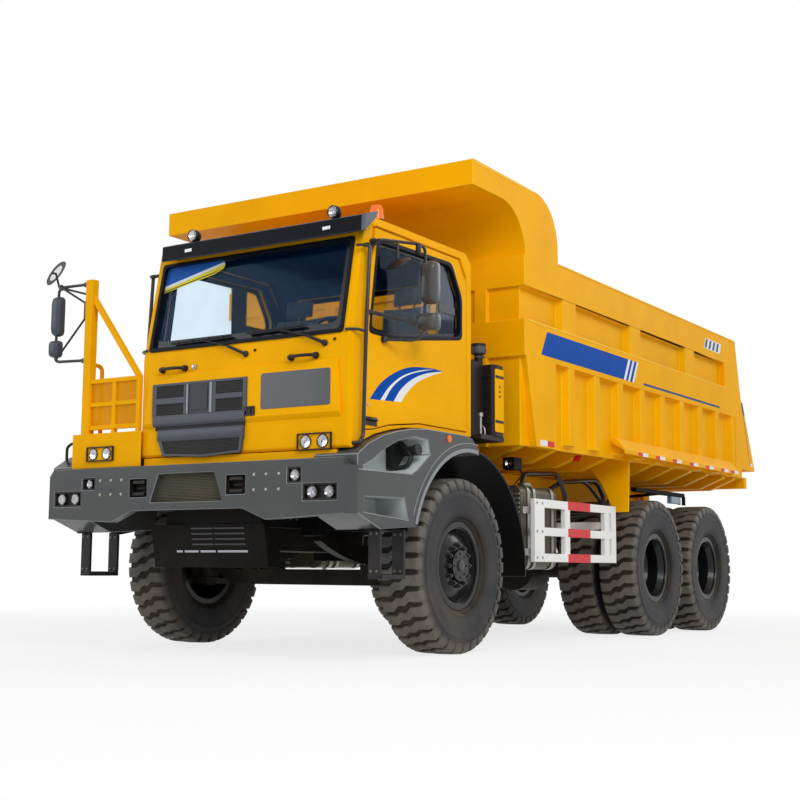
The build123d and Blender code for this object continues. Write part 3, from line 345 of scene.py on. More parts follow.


# Satin black paint for the frame and springs, darkened further as painted shade under the truck.
FRAME_BLACK_WITH_SHADE = finish("frame black with painted shade", (13, 13, 14), 0.42, dust=0.1, shine=0.12)
BOLT_STEEL = finish("bolt steel", (105, 106, 106), 0.38, dust=0.45, metallic=0.7)
eased_part("frame_rails", 0.005, FRAME_BLACK_WITH_SHADE)
eased_part("cross_members", 0.004, FRAME_BLACK_WITH_SHADE)

BOTH = (-1, 1)  # the signs of x on the right and on the left side of the truck
ONE = (1,)
RAIL_FACE_X = 0.475
RAIL_BOLT_GAP = 0.16
RAIL_BOLT_ROWS = (  # first y, last y, how many, z
    (-3.7, -3.45, 4, 1.2),
    (-2.3, -1.92, 5, 1.22),
    (-1.35, -0.85, 5, 1.22),
    (-0.2, 0.3, 4, 1.22),
    (0.6, 1.1, 5, 1.22),
    (2.45, 3.0, 5, 1.22),
)
rail_bolts = [
    ((side * RAIL_FACE_X, y, z - drop), (side, 0, 0))
    for side in BOTH
    for first, last, count, z in RAIL_BOLT_ROWS
    for y in spread(first, last, count)
    for drop in (0.0, RAIL_BOLT_GAP)
]
bolt_on("rail_bolts", rail_bolts, 0.014, 0.012, BOLT_STEEL)

# ================================================================ axles, springs and shafts
# A forged beam axle in front and two cast axle housings behind, on leaf springs that
# U-bolts clamp down. Bare castings sprayed dark grey, dull with oil and dust, their paint darkened
# further as painted shade under the truck.
CAST_GREY_WITH_SHADE = finish("cast grey with painted shade", (24, 23, 22), 0.58, dust=0.15, shine=0.12, grain=35.0, depth=0.0012)
for node in ("front_axle_beam", "rear_axles", "drive_shafts", "engine_block"):
    eased_part(node, 0.004, CAST_GREY_WITH_SHADE)
eased_part("leaf_springs", 0.002, FRAME_BLACK_WITH_SHADE)


def add_walls(bm, pairs):
    """Faces between each pair of rings of corners. They close to a point where corners are shared."""
    for near, far in pairs:
        for index in range(len(near)):
            corners = dict.fromkeys((near[index - 1], near[index], far[index], far[index - 1]))
            if len(corners) > 2:
                bm.faces.new(list(corners))


def add_solid(bm, rings):
    """A closed solid through rings of points, with a cap on each end and walls between."""
    loops = [[bm.verts.new(point) for point in ring] for ring in rings]
    bm.faces.new(loops[0])
    bm.faces.new(loops[-1])
    add_walls(bm, zip(loops, loops[1:]))


def circle(middle, across, other, radius, steps):
    """Points round a middle, from two directions at right angles."""
    turns = [math.tau * step / steps for step in range(steps)]
    return [middle + radius * (math.cos(turn) * across + math.sin(turn) * other) for turn in turns]


def rounded_run(points, bend, steps=5):
    """The points of a run of straight lines with its corners rounded."""
    run = [points[0]]
    for before, corner, after in zip(points, points[1:], points[2:]):
        back = before - corner
        ahead = after - corner
        reach = min(bend, back.length * 0.45, ahead.length * 0.45)
        start = corner + back.normalized() * reach
        end = corner + ahead.normalized() * reach
        for step in range(steps + 1):
            share = step / steps
            run.append(start.lerp(corner, share).lerp(corner.lerp(end, share), share))
    run.append(points[-1])
    return run


def add_tube(bm, points, radius, bend=0.0, sides=12, where=ONE):
    """A round tube along straight runs, its corners eased over the length given as bend."""
    for side in where:
        run = [Vector((side * x, y, z)) for x, y, z in points]
        if bend:
            run = rounded_run(run, bend)
        rings = []
        across = None
        for index, point in enumerate(run):
            ahead = (run[min(index + 1, len(run) - 1)] - run[max(index - 1, 0)]).normalized()
            across = ahead.orthogonal() if across is None else across - ahead * across.dot(ahead)
            across.normalize()
            rings.append(circle(point, across, ahead.cross(across), radius, sides))
        add_solid(bm, rings)


def add_block(bm, low, high, where=ONE):
    """A box between two opposite corners."""
    for side in where:
        xs, (y0, y1), (z0, z1) = [sorted(pair) for pair in zip(low, high)]
        x0, x1 = sorted(side * x for x in xs)
        foot = ((x0, y0), (x1, y0), (x1, y1), (x0, y1))
        add_solid(bm, [[(x, y, z) for x, y in foot] for z in (z0, z1)])


def shaped(bm, name="seed", bevel=0.0, smooth=32):
    """The mesh of a finished bmesh, its faces turned outwards and its sharp edges kept or broken."""
    bmesh.ops.recalc_face_normals(bm, faces=bm.faces)
    mesh = bpy.data.meshes.new(name)
    bm.to_mesh(mesh)
    bm.free()
    if smooth:
        smoothed(mesh, smooth)
    return bevelled(name, mesh, bevel, "ANGLE") if bevel else mesh


def made(name, bm, material, body="chassis", slot="chassis_black", bevel=0.0, smooth=32):
    """Turn a finished bmesh into a piece of one material."""
    mesh = shaped(bm, name, bevel, smooth)
    mesh.materials.append(material)
    return place(name, mesh, body, slot)


U_BOLTS = (  # x of the spring's middle, y of the clamp, lowest z, top z
    (0.6, -2.64, 0.63, 0.93),
    (0.6, -2.56, 0.63, 0.93),
    (0.595, 1.89, 0.79, 1.0),
    (0.595, 2.01, 0.79, 1.0),
)
U_BOLT_HALF = 0.058
bm = bmesh.new()
for side in BOTH:
    for x, y, low_z, top_z in U_BOLTS:
        near, far = side * x - U_BOLT_HALF, side * x + U_BOLT_HALF
        add_tube(bm, [(near, y, low_z), (near, y, top_z), (far, y, top_z), (far, y, low_z)],
                 0.009, bend=0.03, sides=8)
made("spring_u_bolts", bm, BOLT_STEEL)

# ================================================================ hoist
# Two telescopic cylinders stand between the rails and push the bed up. The barrels are
# painted tube, the stages are ground and chromed, and the eyes turn on greased pins.
HOIST_BLACK = finish("hoist black", (30, 30, 32), 0.35, dust=0.2, coat=0.2)
HOIST_CHROME = finish("hoist chrome", (196, 198, 202), 0.12, dust=0.15, metallic=1.0,
                      grain=120.0, depth=0.0001)
dress("hoist_barrels", HOIST_BLACK)
dress("hoist_stages", HOIST_CHROME)
dress("hoist_rods", HOIST_CHROME)

HOIST_FOOT = Vector((0.23, 1.95, 0.62))
HOIST_HEAD = Vector((0.23, 1.45, 1.47))
hoist_ahead = (HOIST_HEAD - HOIST_FOOT).normalized()


def add_lathe(bm, profile, centre, axis, steps=32, where=ONE):
    """Turn a closed outline of (along, radius) about an axis through the centre."""
    for side in where:
        mirror = Vector((side, 1, 1))
        turned = (Vector(axis) * mirror).normalized()
        across = turned.orthogonal().normalized()
        loops = []
        for along, radius in profile:
            middle = Vector(centre) * mirror + turned * along
            if radius:
                ring = circle(middle, across, turned.cross(across), radius, steps)
                loops.append([bm.verts.new(point) for point in ring])
            else:
                loops.append([bm.verts.new(middle)] * steps)
        add_walls(bm, zip(loops, loops[1:] + loops[:1]))


UP = (0, 0, 1)
FORWARD = (0, -1, 0)
X_AXIS = (1, 0, 0)


def hoop(start, end, inner, outer):
    """The outline of a plain ring for a lathe, between two lengths and two radii."""
    return [(start, inner), (start, outer), (end, outer), (end, inner)]


def add_knob(bm, profile, centre, axis, steps=28, where=ONE):
    """Turn an open outline of (along, radius), closed on the axis at both ends."""
    closed = [(profile[0][0], 0.0), *profile, (profile[-1][0], 0.0)]
    add_lathe(bm, list(dict.fromkeys(closed)), centre, axis, steps, where)


bm = bmesh.new()
for along in (0.2, 0.55):
    add_lathe(bm, hoop(along, along + 0.03, 0.094, 0.103), HOIST_FOOT, hoist_ahead, 40, BOTH)
made("hoist_barrel_bands", bm, HOIST_BLACK, "hoist_barrels")

# ================================================================ steering
# Knuckles turn on the axle's kingpins and a rod ties their arms. All are forgings,
# left as cast and painted dull grey, darkened further as painted shade under the truck.
for node in ("left_knuckle", "right_knuckle", "tie_rod"):
    eased_part(node, 0.003, CAST_GREY_WITH_SHADE)

# ================================================================ tyres
# Ten 14.00-25 rock tyres, each 1.37 m across. Black rubber with deep zig-zag bars that
# wrap over the shoulders, dusty on the tread and darker on the side walls.
WHEELS = (  # body, node of its tyres, x of each tyre's middle, y of the axle
    ("front_left_wheel", "front_left_tyre", (1.28,), -2.6),
    ("front_right_wheel", "front_right_tyre", (-1.28,), -2.6),
    ("middle_left_wheels", "middle_left_tyres", (0.925, 1.375), 1.2),
    ("middle_right_wheels", "middle_right_tyres", (-0.925, -1.375), 1.2),
    ("rear_left_wheels", "rear_left_tyres", (0.925, 1.375), 2.7),
    ("rear_right_wheels", "rear_right_tyres", (-0.925, -1.375), 2.7),
)
HUB_Z = 0.685
TREAD_RADIUS = 0.684
GROOVE_RADIUS = 0.656
LUG_COUNT = 34
RUBBER_DARK = (36, 40, 47)
TREAD_DUST = (116, 111, 105)
# Near black for the floors of the grooves between the bars: painted shade.
GROOVE_SHADE = (12, 12, 13)
SHOULDER_RADIUS, SHOULDER_FADE = 0.59, 0.05
GROOVE_HALF_WIDTH, GROOVE_EDGE_RADIUS = 0.17, 0.668
SIDE_WALL = (  # from the tyre's middle, radius
    (0.124, 0.319), (0.124, 0.347), (0.143, 0.35), (0.15, 0.362), (0.16, 0.376), (0.166, 0.374),
    (0.17, 0.39), (0.179, 0.424), (0.1845, 0.462), (0.187, 0.5), (0.1862, 0.54),
    (0.1885, 0.548), (0.1885, 0.556), (0.185, 0.563), (0.182, 0.6), (0.176, 0.634),
    (0.164, 0.652), (0.15, GROOVE_RADIUS),
)
LUG_STATIONS = (  # from the middle, shift round the tyre, half width, top radius, foot radius
    (-0.01, 0.03, 0.026, 0.684, 0.64),
    (0.03, 0.03, 0.034, 0.684, 0.64),
    (0.078, -0.012, 0.038, 0.6835, 0.64),
    (0.15, -0.012, 0.041, 0.6815, 0.63),
    (0.172, -0.012, 0.043, 0.674, 0.62),
    (0.1865, -0.012, 0.043, 0.648, 0.6),
    (0.188, -0.012, 0.036, 0.612, 0.588),
)


def build_ring_tree():
    """Copies of a seed shape, made about the origin, in a ring round an axle along X."""
    tree, given, out = new_shape_tree("ring of copies", (
        ("Count", "Int", 12),
        ("Centre", "Vector", (0.0, 0.0, 0.0)),
        ("Finish", "Material", None),
    ))
    points = add_node(tree, "GeometryNodePoints", {
        "Count": given.outputs["Count"], "Position": given.outputs["Centre"],
    })
    index = add_node(tree, "GeometryNodeInputIndex").outputs[0]
    share = maths(tree, "DIVIDE", index, given.outputs["Count"])
    euler = add_node(tree, "ShaderNodeCombineXYZ", {"X": maths(tree, "MULTIPLY", share, math.tau)})
    turn = add_node(tree, "FunctionNodeEulerToRotation", {0: euler.outputs[0]})
    ring = add_node(tree, "GeometryNodeInstanceOnPoints", {
        "Points": points.outputs[0], "Instance": given.outputs["Geometry"],
        "Rotation": turn.outputs[0],
    })
    close_shape_tree(tree, given, out, ring.outputs[0])
    return tree


RING = build_ring_tree()


def tyre_rubber():
    """Rubber that is dark on the side walls, browner with dust on the tread, and near black with painted
    shade in the grooves.
    """
    material = finish("tyre rubber", RUBBER_DARK, 0.58, dust=0.22, grain=90.0, depth=0.001)
    tree = material.node_tree
    grime = next(node for node in tree.nodes if node.type == "GROUP")
    place_at = add_node(tree, "ShaderNodeTexCoord").outputs["Object"]
    scuffs = add_node(tree, "ShaderNodeTexNoise", {
        "Vector": place_at, "Scale": 9.0, "Detail": 6.0, "Roughness": 0.7,
    }).outputs[0]
    worn = add_node(tree, "ShaderNodeAttribute", attribute_name="tread").outputs["Fac"]
    browned = maths(tree, "MULTIPLY", worn, remap(tree, scuffs, 0.3, 0.7, 0.45, 1.0))
    rubber = blend_colours(tree, browned, colour_card(*RUBBER_DARK), colour_card(*TREAD_DUST))
    # Groove floors go near black: painted shade.
    depth = add_node(tree, "ShaderNodeAttribute", attribute_name="groove").outputs["Fac"]
    rubber = blend_colours(tree, depth, rubber, colour_card(*GROOVE_SHADE))
    tree.links.new(rubber, grime.inputs["Paint"])
    return material


def lug_seed():
    """One pitch of tread: a knee-shaped bar to each side, half a pitch apart."""
    bm = bmesh.new()
    pitch = math.tau * TREAD_RADIUS / LUG_COUNT
    for side in BOTH:
        rings = []
        for x, shift, half, top, foot in LUG_STATIONS:
            middle = shift * side + (pitch / 2 if side > 0 else 0.0)
            corners = ((middle - half, top), (middle + half, top), (middle + half * 1.15, foot),
                       (middle - half * 1.15, foot))
            rings.append([
                (side * x, -radius * math.sin(arc / TREAD_RADIUS), radius * math.cos(arc / TREAD_RADIUS))
                for arc, radius in corners
            ])
        add_solid(bm, rings)
    return shaped(bm, "lug", 0.004)


RUBBER = tyre_rubber()
LUG_SEED = lug_seed()


def join_meshes(name, meshes, material):
    """Several meshes as one, all in one material."""
    bm = bmesh.new()
    for mesh in meshes:
        bm.from_mesh(mesh)
    joined = bpy.data.meshes.new(name)
    bm.to_mesh(joined)
    bm.free()
    joined.materials.append(material)
    return joined


def mark_tread(mesh, axle_y, middles):
    """Mark the rubber from the shoulders outwards, and where it lies in a groove, for painted shade."""
    tread = mesh.attributes.new("tread", "FLOAT", "POINT")
    groove = mesh.attributes.new("groove", "FLOAT", "POINT")
    for worn, deep, vert in zip(tread.data, groove.data, mesh.vertices):
        radius = math.hypot(vert.co.y - axle_y, vert.co.z - HUB_Z)
        across = min(abs(vert.co.x - middle) for middle in middles)
        worn.value = min(max((radius - SHOULDER_RADIUS) / SHOULDER_FADE, 0.0), 1.0)
        deep.value = 1.0 if across < GROOVE_HALF_WIDTH and radius < GROOVE_EDGE_RADIUS else 0.0


for body, node, middles, axle_y in WHEELS:
    bm = bmesh.new()
    right_wall = [(-x, radius) for x, radius in SIDE_WALL]
    for x in middles:
        add_lathe(bm, list(SIDE_WALL) + right_wall[::-1], (x, axle_y, HUB_Z), X_AXIS, 96)
    carcass = shaped(bm, "carcass", smooth=0)
    treads = [
        grown(RING, "tread", LUG_SEED.copy(), {
            "Count": LUG_COUNT, "Centre": (x, axle_y, HUB_Z), "Finish": RUBBER,
        })
        for x in middles
    ]
    mesh = smoothed(join_meshes(f"{node}_rubber", [carcass, *treads], RUBBER))
    mark_tread(mesh, axle_y, middles)
    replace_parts(place(f"{node}_rubber", mesh, body, "tyre_rubber"), node)

# ================================================================ rims
# Five-piece steel rims with a lock ring, dished deep into the wheel, satin black. Twelve
# nuts hold each to its hub, which has a bolted cap of bare, oily steel.
RIM_BLACK = finish("rim black", (9, 11, 15), 0.28, dust=0.04, coat=0.2)
NUT_STEEL = finish("nut steel", (74, 75, 80), 0.32, dust=0.08, metallic=0.8)
for body, node, middles, axle_y in WHEELS:
    dress(node.replace("tyre", "rim"), RIM_BLACK)

HUBS = {  # nut circle: radius and x, cap's x, by how many tyres the wheel has
    1: (0.155, 1.405, 1.44),
    2: (0.163, 1.175, 1.345),
}
CAP_BOLT_RADIUS = 0.09184
NUT_TURNS = ((16, 0.022, 0.0, 0.006), (6, 0.0185, 0.006, 0.026), (10, 0.01, 0.026, 0.04))
CAP_BOLT_TURNS = ((6, 0.008, 0.0, 0.008),)
LOCK_RINGS = (  # the lock ring and its groove, as (along, radius) from the tyre's middle
    ((0.136, 0.3), (0.136, 0.343), (0.141, 0.343), (0.143, 0.334), (0.141, 0.302)),
    hoop(0.118, 0.13, 0.29, 0.304),
)


def turned_seed(turns, radius, side):
    """Stacked discs at a ring's radius that face out along X: sides, radius, start and end of each."""
    bm = bmesh.new()
    for sides, size, start, end in turns:
        add_knob(bm, [(side * start, size), (side * end, size)], (0.0, 0.0, radius), X_AXIS, sides)
    return shaped(bm, smooth=0)


for body, node, middles, axle_y in WHEELS:
    side = 1 if middles[0] > 0 else -1
    nut_radius, nut_x, cap_x = HUBS[len(middles)]
    rings = [
        grown(RING, "nuts", turned_seed(turns, radius, side), {
            "Count": count, "Centre": (side * x, axle_y, HUB_Z), "Finish": NUT_STEEL,
        })
        for count, turns, radius, x in ((12, NUT_TURNS, nut_radius, nut_x),
                                        (8, CAP_BOLT_TURNS, CAP_BOLT_RADIUS, cap_x))
    ]
    place(f"{body}_nuts", join_meshes(f"{body}_nuts", rings, NUT_STEEL), body, "rim_black")
    bm = bmesh.new()
    add_knob(bm, [(0.0, 0.045), (side * 0.012, 0.042), (side * 0.016, 0.03)],
             (side * cap_x, axle_y, HUB_Z), X_AXIS, 24)
    made(f"{body}_hub_plug", bm, NUT_STEEL, body, "rim_black")
    bm = bmesh.new()
    x = max(middles, key=abs)
    for profile in LOCK_RINGS:
        outline = [(side * along, radius) for along, radius in profile]
        add_lathe(bm, outline, (x, axle_y, HUB_Z), X_AXIS, 72)
    valve_foot = (x + side * 0.1, axle_y, HUB_Z + 0.283)
    add_tube(bm, [valve_foot, (x + side * 0.128, axle_y, HUB_Z + 0.262)], 0.006, sides=8)
    made(f"{body}_lock_ring", bm, RIM_BLACK, body, "rim_black")

# ================================================================ front underguard
# A bent plate hangs below the bumper to guard the cooler. Pressed louvres in two columns
# let the air through, and its lower lip is bare, scraped steel.
# Near black for parts under the truck: their dark paint, darkened further as painted shade.
UNDERSIDE_BLACK_WITH_SHADE = finish("underside black with painted shade", (10, 9, 9), 0.6, dust=0.05, shine=0.1)
eased_part("front_underguard", 0.003, UNDERSIDE_BLACK_WITH_SHADE)


def build_row_tree():
    """Copies of a seed shape in a straight row, a fixed step apart."""
    tree, given, out = new_shape_tree("row of copies", (
        ("Count", "Int", 4),
        ("Step", "Vector", (0.0, 0.0, 0.1)),
        ("Finish", "Material", None),
    ))
    line = add_node(tree, "GeometryNodeMeshLine", {
        "Count": given.outputs["Count"], "Offset": given.outputs["Step"],
    }, mode="OFFSET")
    row = add_node(tree, "GeometryNodeInstanceOnPoints", {
        "Points": line.outputs[0], "Instance": given.outputs["Geometry"],
    })
    close_shape_tree(tree, given, out, row.outputs[0])
    return tree


ROW = build_row_tree()


def row_of(name, seed, count, step, material, slot="chassis_black"):
    """A row of copies of a seed as one piece of the chassis."""
    mesh = grown(ROW, name, seed, {"Count": count, "Step": step, "Finish": material})
    return place(name, mesh, "chassis", slot)


ALONG = {  # where the outline's two values and the length go
    "x": lambda a, b, c: (c, a, b),
    "y": lambda a, b, c: (a, c, b),
    "z": lambda a, b, c: (a, b, c),
}


def add_prism(bm, outline, axis, start, end, where=ONE):
    """An outline thickened along an axis. It gives (y, z), (x, z) or (x, y) for x, y or z."""
    for side in where:
        rings = [[Vector(ALONG[axis](a, b, c)) for a, b in outline] for c in (start, end)]
        add_solid(bm, [[point * Vector((side, 1, 1)) for point in ring] for ring in rings])


SCRAPED_STEEL = finish("scraped steel", (168, 170, 178), 0.3, dust=0.2, metallic=0.9)
WORN_BLACK = finish("worn black", (84, 84, 90), 0.4, dust=0.2)
LOUVRE = [(-3.941, 0.95), (-3.96, 0.96), (-3.964, 0.956), (-3.938, 0.934)]
for side, x0, x1 in (("left", 0.075, 0.37), ("right", -0.15, 0.06)):
    bm = bmesh.new()
    add_prism(bm, LOUVRE, "x", x0, x1)
    row_of(f"{side}_louvres", shaped(bm), 4, (0.0, 0.0074, -0.04), WORN_BLACK)
bm = bmesh.new()
for x0, x1 in ((-0.31, -0.25), (-0.23, -0.09), (-0.07, 0.08), (0.1, 0.39)):
    add_prism(bm, [(-3.918, 0.772), (-3.93, 0.772), (-3.933, 0.788), (-3.921, 0.788)], "x", x0, x1)
made("underguard_lip", bm, SCRAPED_STEEL)

# ================================================================ bumper
# A folded plate bumper as wide as the truck, grey gloss paint. Its middle opening is
# covered with woven wire, and the towing pockets and the lamps' pockets are black inside.
BODY_GREY = finish("body grey", (71, 74, 75), 0.34, dust=0.1, coat=0.1)
# A lighter grey for broken edges and the fender lips: a painted highlight.
EDGE_HIGHLIGHT_GREY = finish("body grey edge highlight", (138, 142, 145), 0.25, dust=0.1, coat=0.15)
POCKET_BLACK = finish("pocket black", (20, 20, 21), 0.5, dust=0.25)
PLASTIC_BLACK = finish("moulded black", (30, 31, 33), 0.42, dust=0.25, grain=260.0)


def lined(piece, boxes, material):
    """Give the faces of a piece that lie inside the boxes another material."""
    mesh = piece.data
    mesh.materials.append(material)
    last = len(mesh.materials) - 1
    for face in mesh.polygons:
        if within(face.center, boxes):
            face.material_index = last


TOW_X = 0.481
# The bumper's broken edges wear the lighter grey as a painted highlight.
bumper = eased_part("front_bumper", 0.004, BODY_GREY, EDGE_HIGHLIGHT_GREY)
tow_pockets = [((x - 0.095, -4.199, 1.18), (x + 0.095, -4.09, 1.335)) for x in (-TOW_X, TOW_X)]
lined(bumper, tow_pockets, POCKET_BLACK)


def build_wire_tree():
    """A round wire along every edge of the seed mesh."""
    tree, given, out = new_shape_tree("wires", (
        ("Wire Radius", "Float", 0.002),
        ("Finish", "Material", None),
    ))
    runs = add_node(tree, "GeometryNodeMeshToCurve", {0: given.outputs["Geometry"]})
    ring = add_node(tree, "GeometryNodeCurvePrimitiveCircle", {
        "Resolution": 4, "Radius": given.outputs["Wire Radius"],
    })
    wires = add_node(tree, "GeometryNodeCurveToMesh", {
        0: runs.outputs[0], 1: ring.outputs[0], "Fill Caps": True,
    })
    close_shape_tree(tree, given, out, wires.outputs[0])
    return tree


WIRES = build_wire_tree()


def wire_grid(name, corners, columns, rows, radius, material, weave, slot="dark_mesh"):
    """Crossed wires over a four-cornered opening, its corners given in order round it."""
    first, second, third, fourth = [Vector(corner) for corner in corners]
    facing = (second - first).cross(fourth - first).normalized() * weave
    points, edges = [], []
    runs = [(first.lerp(second, t), fourth.lerp(third, t), 1) for t in spread(0.0, 1.0, columns)]
    runs += [(first.lerp(fourth, t), second.lerp(third, t), -1) for t in spread(0.0, 1.0, rows)]
    for start, end, sign in runs:
        edges.append((len(points), len(points) + 1))
        points += [start + facing * sign, end + facing * sign]
    mesh = bpy.data.meshes.new("runs")
    mesh.from_pydata(points, edges, [])
    place(name, grown(WIRES, name, mesh, {"Wire Radius": radius, "Finish": material}), "chassis", slot)


def wire_panel(name, x0, x1, z0, z1, y, columns, rows, radius, material, weave, slot="dark_mesh"):
    """Crossed wires over an upright oblong that faces forward."""
    corners = [(x0, y, z1), (x1, y, z1), (x1, y, z0), (x0, y, z0)]
    wire_grid(name, corners, columns, rows, radius, material, weave, slot)


MESH_GREY = finish("mesh grey", (112, 108, 92), 0.5, dust=0.2)
wire_grid("bumper_mesh", [(-0.275, -4.15, 1.358), (0.275, -4.15, 1.358), (0.358, -4.15, 1.144),
                          (-0.358, -4.15, 1.144)], 64, 20, 0.0022, MESH_GREY, 0.0015)
bm = bmesh.new()
add_block(bm, (-0.4, -4.095, 1.1), (0.4, -4.075, 1.39))
for z in spread(1.13, 1.36, 10):
    add_block(bm, (-0.39, -4.108, z - 0.004), (0.39, -4.096, z + 0.004))
made("cooler_face", bm, POCKET_BLACK)

BUMPER_FACE_Y = -4.2
bumper_bolts = [
    ((side * x, BUMPER_FACE_Y + 0.0006, z), FORWARD)
    for side in BOTH for x in (0.655, 0.765, 0.88) for z in (1.215, 1.325)
]
BUMPER_BOLT = finish("bumper bolt", (176, 176, 164), 0.35, dust=0.2, metallic=0.4)
bolt_on("bumper_bolts", bumper_bolts, 0.0085, 0.008, BUMPER_BOLT, slot="grey_paint")
bm = bmesh.new()
add_prism(bm, [(0.395, 1.185), (0.585, 1.185), (0.53, 1.085), (0.4, 1.14)], "y", BUMPER_FACE_Y + 0.0005,
          BUMPER_FACE_Y + 0.004, BOTH)
add_tube(bm, [(TOW_X - 0.045, -4.158, 1.2575), (TOW_X + 0.045, -4.158, 1.2575)], 0.008, where=BOTH)
made("tow_pocket_lips", bm, POCKET_BLACK, slot="grey_paint", bevel=0.001)

# ================================================================ lamps
# Double headlamps and single side lamps in black boxes: bright pressed bowls, a bulb in
# each, and clear lenses in front.
LAMP_BOWL = finish("lamp bowl", (176, 178, 184), 0.12, dust=0.05, metallic=1.0, grain=8.0)
YELLOW = finish("machine yellow", (255, 181, 0), 0.42, dust=0.02, grain=70.0, depth=0.0003,
                shine=0.03)
BULB_WHITE = finish("bulb white", (250, 250, 245), 0.2, dust=0.0)


def clear_glass(name, paint, ior=1.45):
    """Glass or clear plastic with a little film of dust."""
    material = finish(name, paint, 0.02, dust=0.05, grain=12.0, depth=0.00005)
    shader = material.node_tree.nodes["Principled BSDF"]
    shader.inputs["Transmission Weight"].default_value = 1.0
    shader.inputs["Specular IOR Level"].default_value = 0.5
    shader.inputs["IOR"].default_value = ior
    return material


LENS_CLEAR = clear_glass("lamp lens", (250, 250, 250))
LAMP_BOXES = (  # x0, x1, z0, z1, y of the front, y of the back, lamps side by side, is on the cab
    (1.09, 1.383, 1.131, 1.245, -4.196, -4.16, 2, False),
    (-1.387, -1.093, 1.131, 1.245, -4.196, -4.16, 2, False),
    (0.953, 1.072, 1.258, 1.365, -4.196, -4.16, 1, False),
    (-1.079, -0.943, 1.258, 1.347, -4.196, -4.16, 1, False),
    (0.967, 1.266, 1.49, 1.612, -4.118, -4.1, 2, True),
    (-1.095, -0.808, 1.484, 1.6, -4.158, -4.14, 2, True),
)


def add_frame(bm, x0, x1, z0, z1, front, back, border):
    """Four bars round a flat opening that faces forward."""
    add_block(bm, (x0, front, z0), (x1, back, z0 + border))
    add_block(bm, (x0, front, z1 - border), (x1, back, z1))
    add_block(bm, (x0, front, z0 + border), (x0 + border, back, z1 - border))
    add_block(bm, (x1 - border, front, z0 + border), (x1, back, z1 - border))


LAMP_PARTS = (  # part, steps, outline: along as a share of the depth and beyond it, share of the radius
    ("bowls", 28, ((0, 0.001, 0.4), (1, 0, 1), (1, 0, 0.93), (0, 0.004, 0.34))),
    ("bulbs", 12, ((0, 0.004, 0.22), (0.6, 0, 0.2), (0.75, 0, 0))),
    ("lenses", 28, ((1, 0, 0.97), (1, 0.0015, 0.97), (1, 0.004, 0.6), (1, 0.005, 0))),
)


def lamp_set(name, lamps, bulb, ring_slot="lamp_lens"):
    """Round lamps that face forward, each given as the centre of its back, its radius and depth."""
    finishes = {"bowls": LAMP_BOWL, "bulbs": bulb, "lenses": LENS_CLEAR}
    for part, steps, outline in LAMP_PARTS:
        bm = bmesh.new()
        for centre, radius, depth in lamps:
            profile = [(depth * share + more, radius * size) for share, more, size in outline]
            add_knob(bm, profile, centre, FORWARD, steps)
        made(f"{name}_{part}", bm, finishes[part], slot="lamp_lens")
    bm = bmesh.new()
    for centre, radius, depth in lamps:
        add_lathe(bm, hoop(depth * 0.6, depth + 0.003, radius, radius * 1.12), centre, FORWARD, 28)
    made(f"{name}_rings", bm, PLASTIC_BLACK, slot=ring_slot)


BORDER = 0.009
LAMP_BACK = 0.005  # thickness of the plate behind each lamp
LAMP_SHARE = 0.36  # a lamp's radius as a share of its room
LAMP_ROOM = 0.012  # what a box is deeper than its lamps
boxes, plates = bmesh.new(), bmesh.new()
lamps = []
for x0, x1, z0, z1, front, back, count, on_cab in LAMP_BOXES:
    add_frame(boxes, x0, x1, z0, z1, front, back, BORDER)
    backing = plates if on_cab else boxes
    add_block(backing, (x0 + BORDER, back - LAMP_BACK, z0 + BORDER), (x1 - BORDER, back, z1 - BORDER))
    width = (x1 - x0) / count
    for index in range(count):
        centre = (x0 + width * (index + 0.5), back - LAMP_BACK, (z0 + z1) / 2)
        lamps.append((centre, min(width, z1 - z0) * LAMP_SHARE, back - front - LAMP_ROOM))
lamp_boxes = made("lamp_boxes", boxes, PLASTIC_BLACK, slot="lamp_lens", bevel=0.0015)
lamp_set("lamp", lamps, BULB_WHITE)
made("lamp_plates", plates, YELLOW, slot="yellow_paint")
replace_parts(lamp_boxes, "headlamps")

# ================================================================ fenders
# A deep welded wing over each front wheel, grey gloss paint with a painted highlight in lighter
# grey on its edges. A step well with the washer filler is cut in its side, and a boot pocket below it.
fenders = eased_part("fenders", 0.006, BODY_GREY, EDGE_HIGHLIGHT_GREY)
# The step wells' insides are light grey lifted near white: partly their own paint, partly painted light
# against the shade in the wells.
WELL_GREY_LIFTED = finish("well grey with painted light", (214, 220, 220), 0.45, dust=0.1)
WELL_PLACES = ((1.229, 0.008), (1.418, 0.075))  # middle and half width of the back and of the sides
lined(fenders, [
    ((side * middle - half, -4.03, 1.06), (side * middle + half, -3.17, 1.63))
    for side in BOTH for middle, half in WELL_PLACES
], WELL_GREY_LIFTED)
FENDER_SIDE_X = 1.5
ARCH_CENTRE = (-2.54, 0.735)


def arch_outline(inner, outer, start, end, steps=28):
    """A band round the wheel arch between two radii, as (y, z)."""
    turns = [math.radians(angle) for angle in spread(start, end, steps)]
    cy, cz = ARCH_CENTRE
    band = [(cy - inner * math.cos(turn), cz + inner * math.sin(turn)) for turn in turns]
    return band + [(cy - outer * math.cos(turn), cz + outer * math.sin(turn)) for turn in turns[::-1]]


# Raised lips round the arch and along the side, all in the lighter edge grey: painted highlights.
FENDER_LINES = (  # outline, how far it stands out
    (arch_outline(0.838, 0.868, 17, 97), 0.007),
    (arch_outline(0.905, 0.913, 20, 97), 0.003),
    ([(-4.11, 1.336), (-3.42, 1.342), (-3.42, 1.351), (-4.11, 1.345)], 0.005),
)
bm = bmesh.new()
for outline, out in FENDER_LINES:
    add_prism(bm, outline, "x", FENDER_SIDE_X - 0.002, FENDER_SIDE_X + out, BOTH)
made("fender_lips_highlight", bm, EDGE_HIGHLIGHT_GREY, slot="grey_paint", bevel=0.0015)

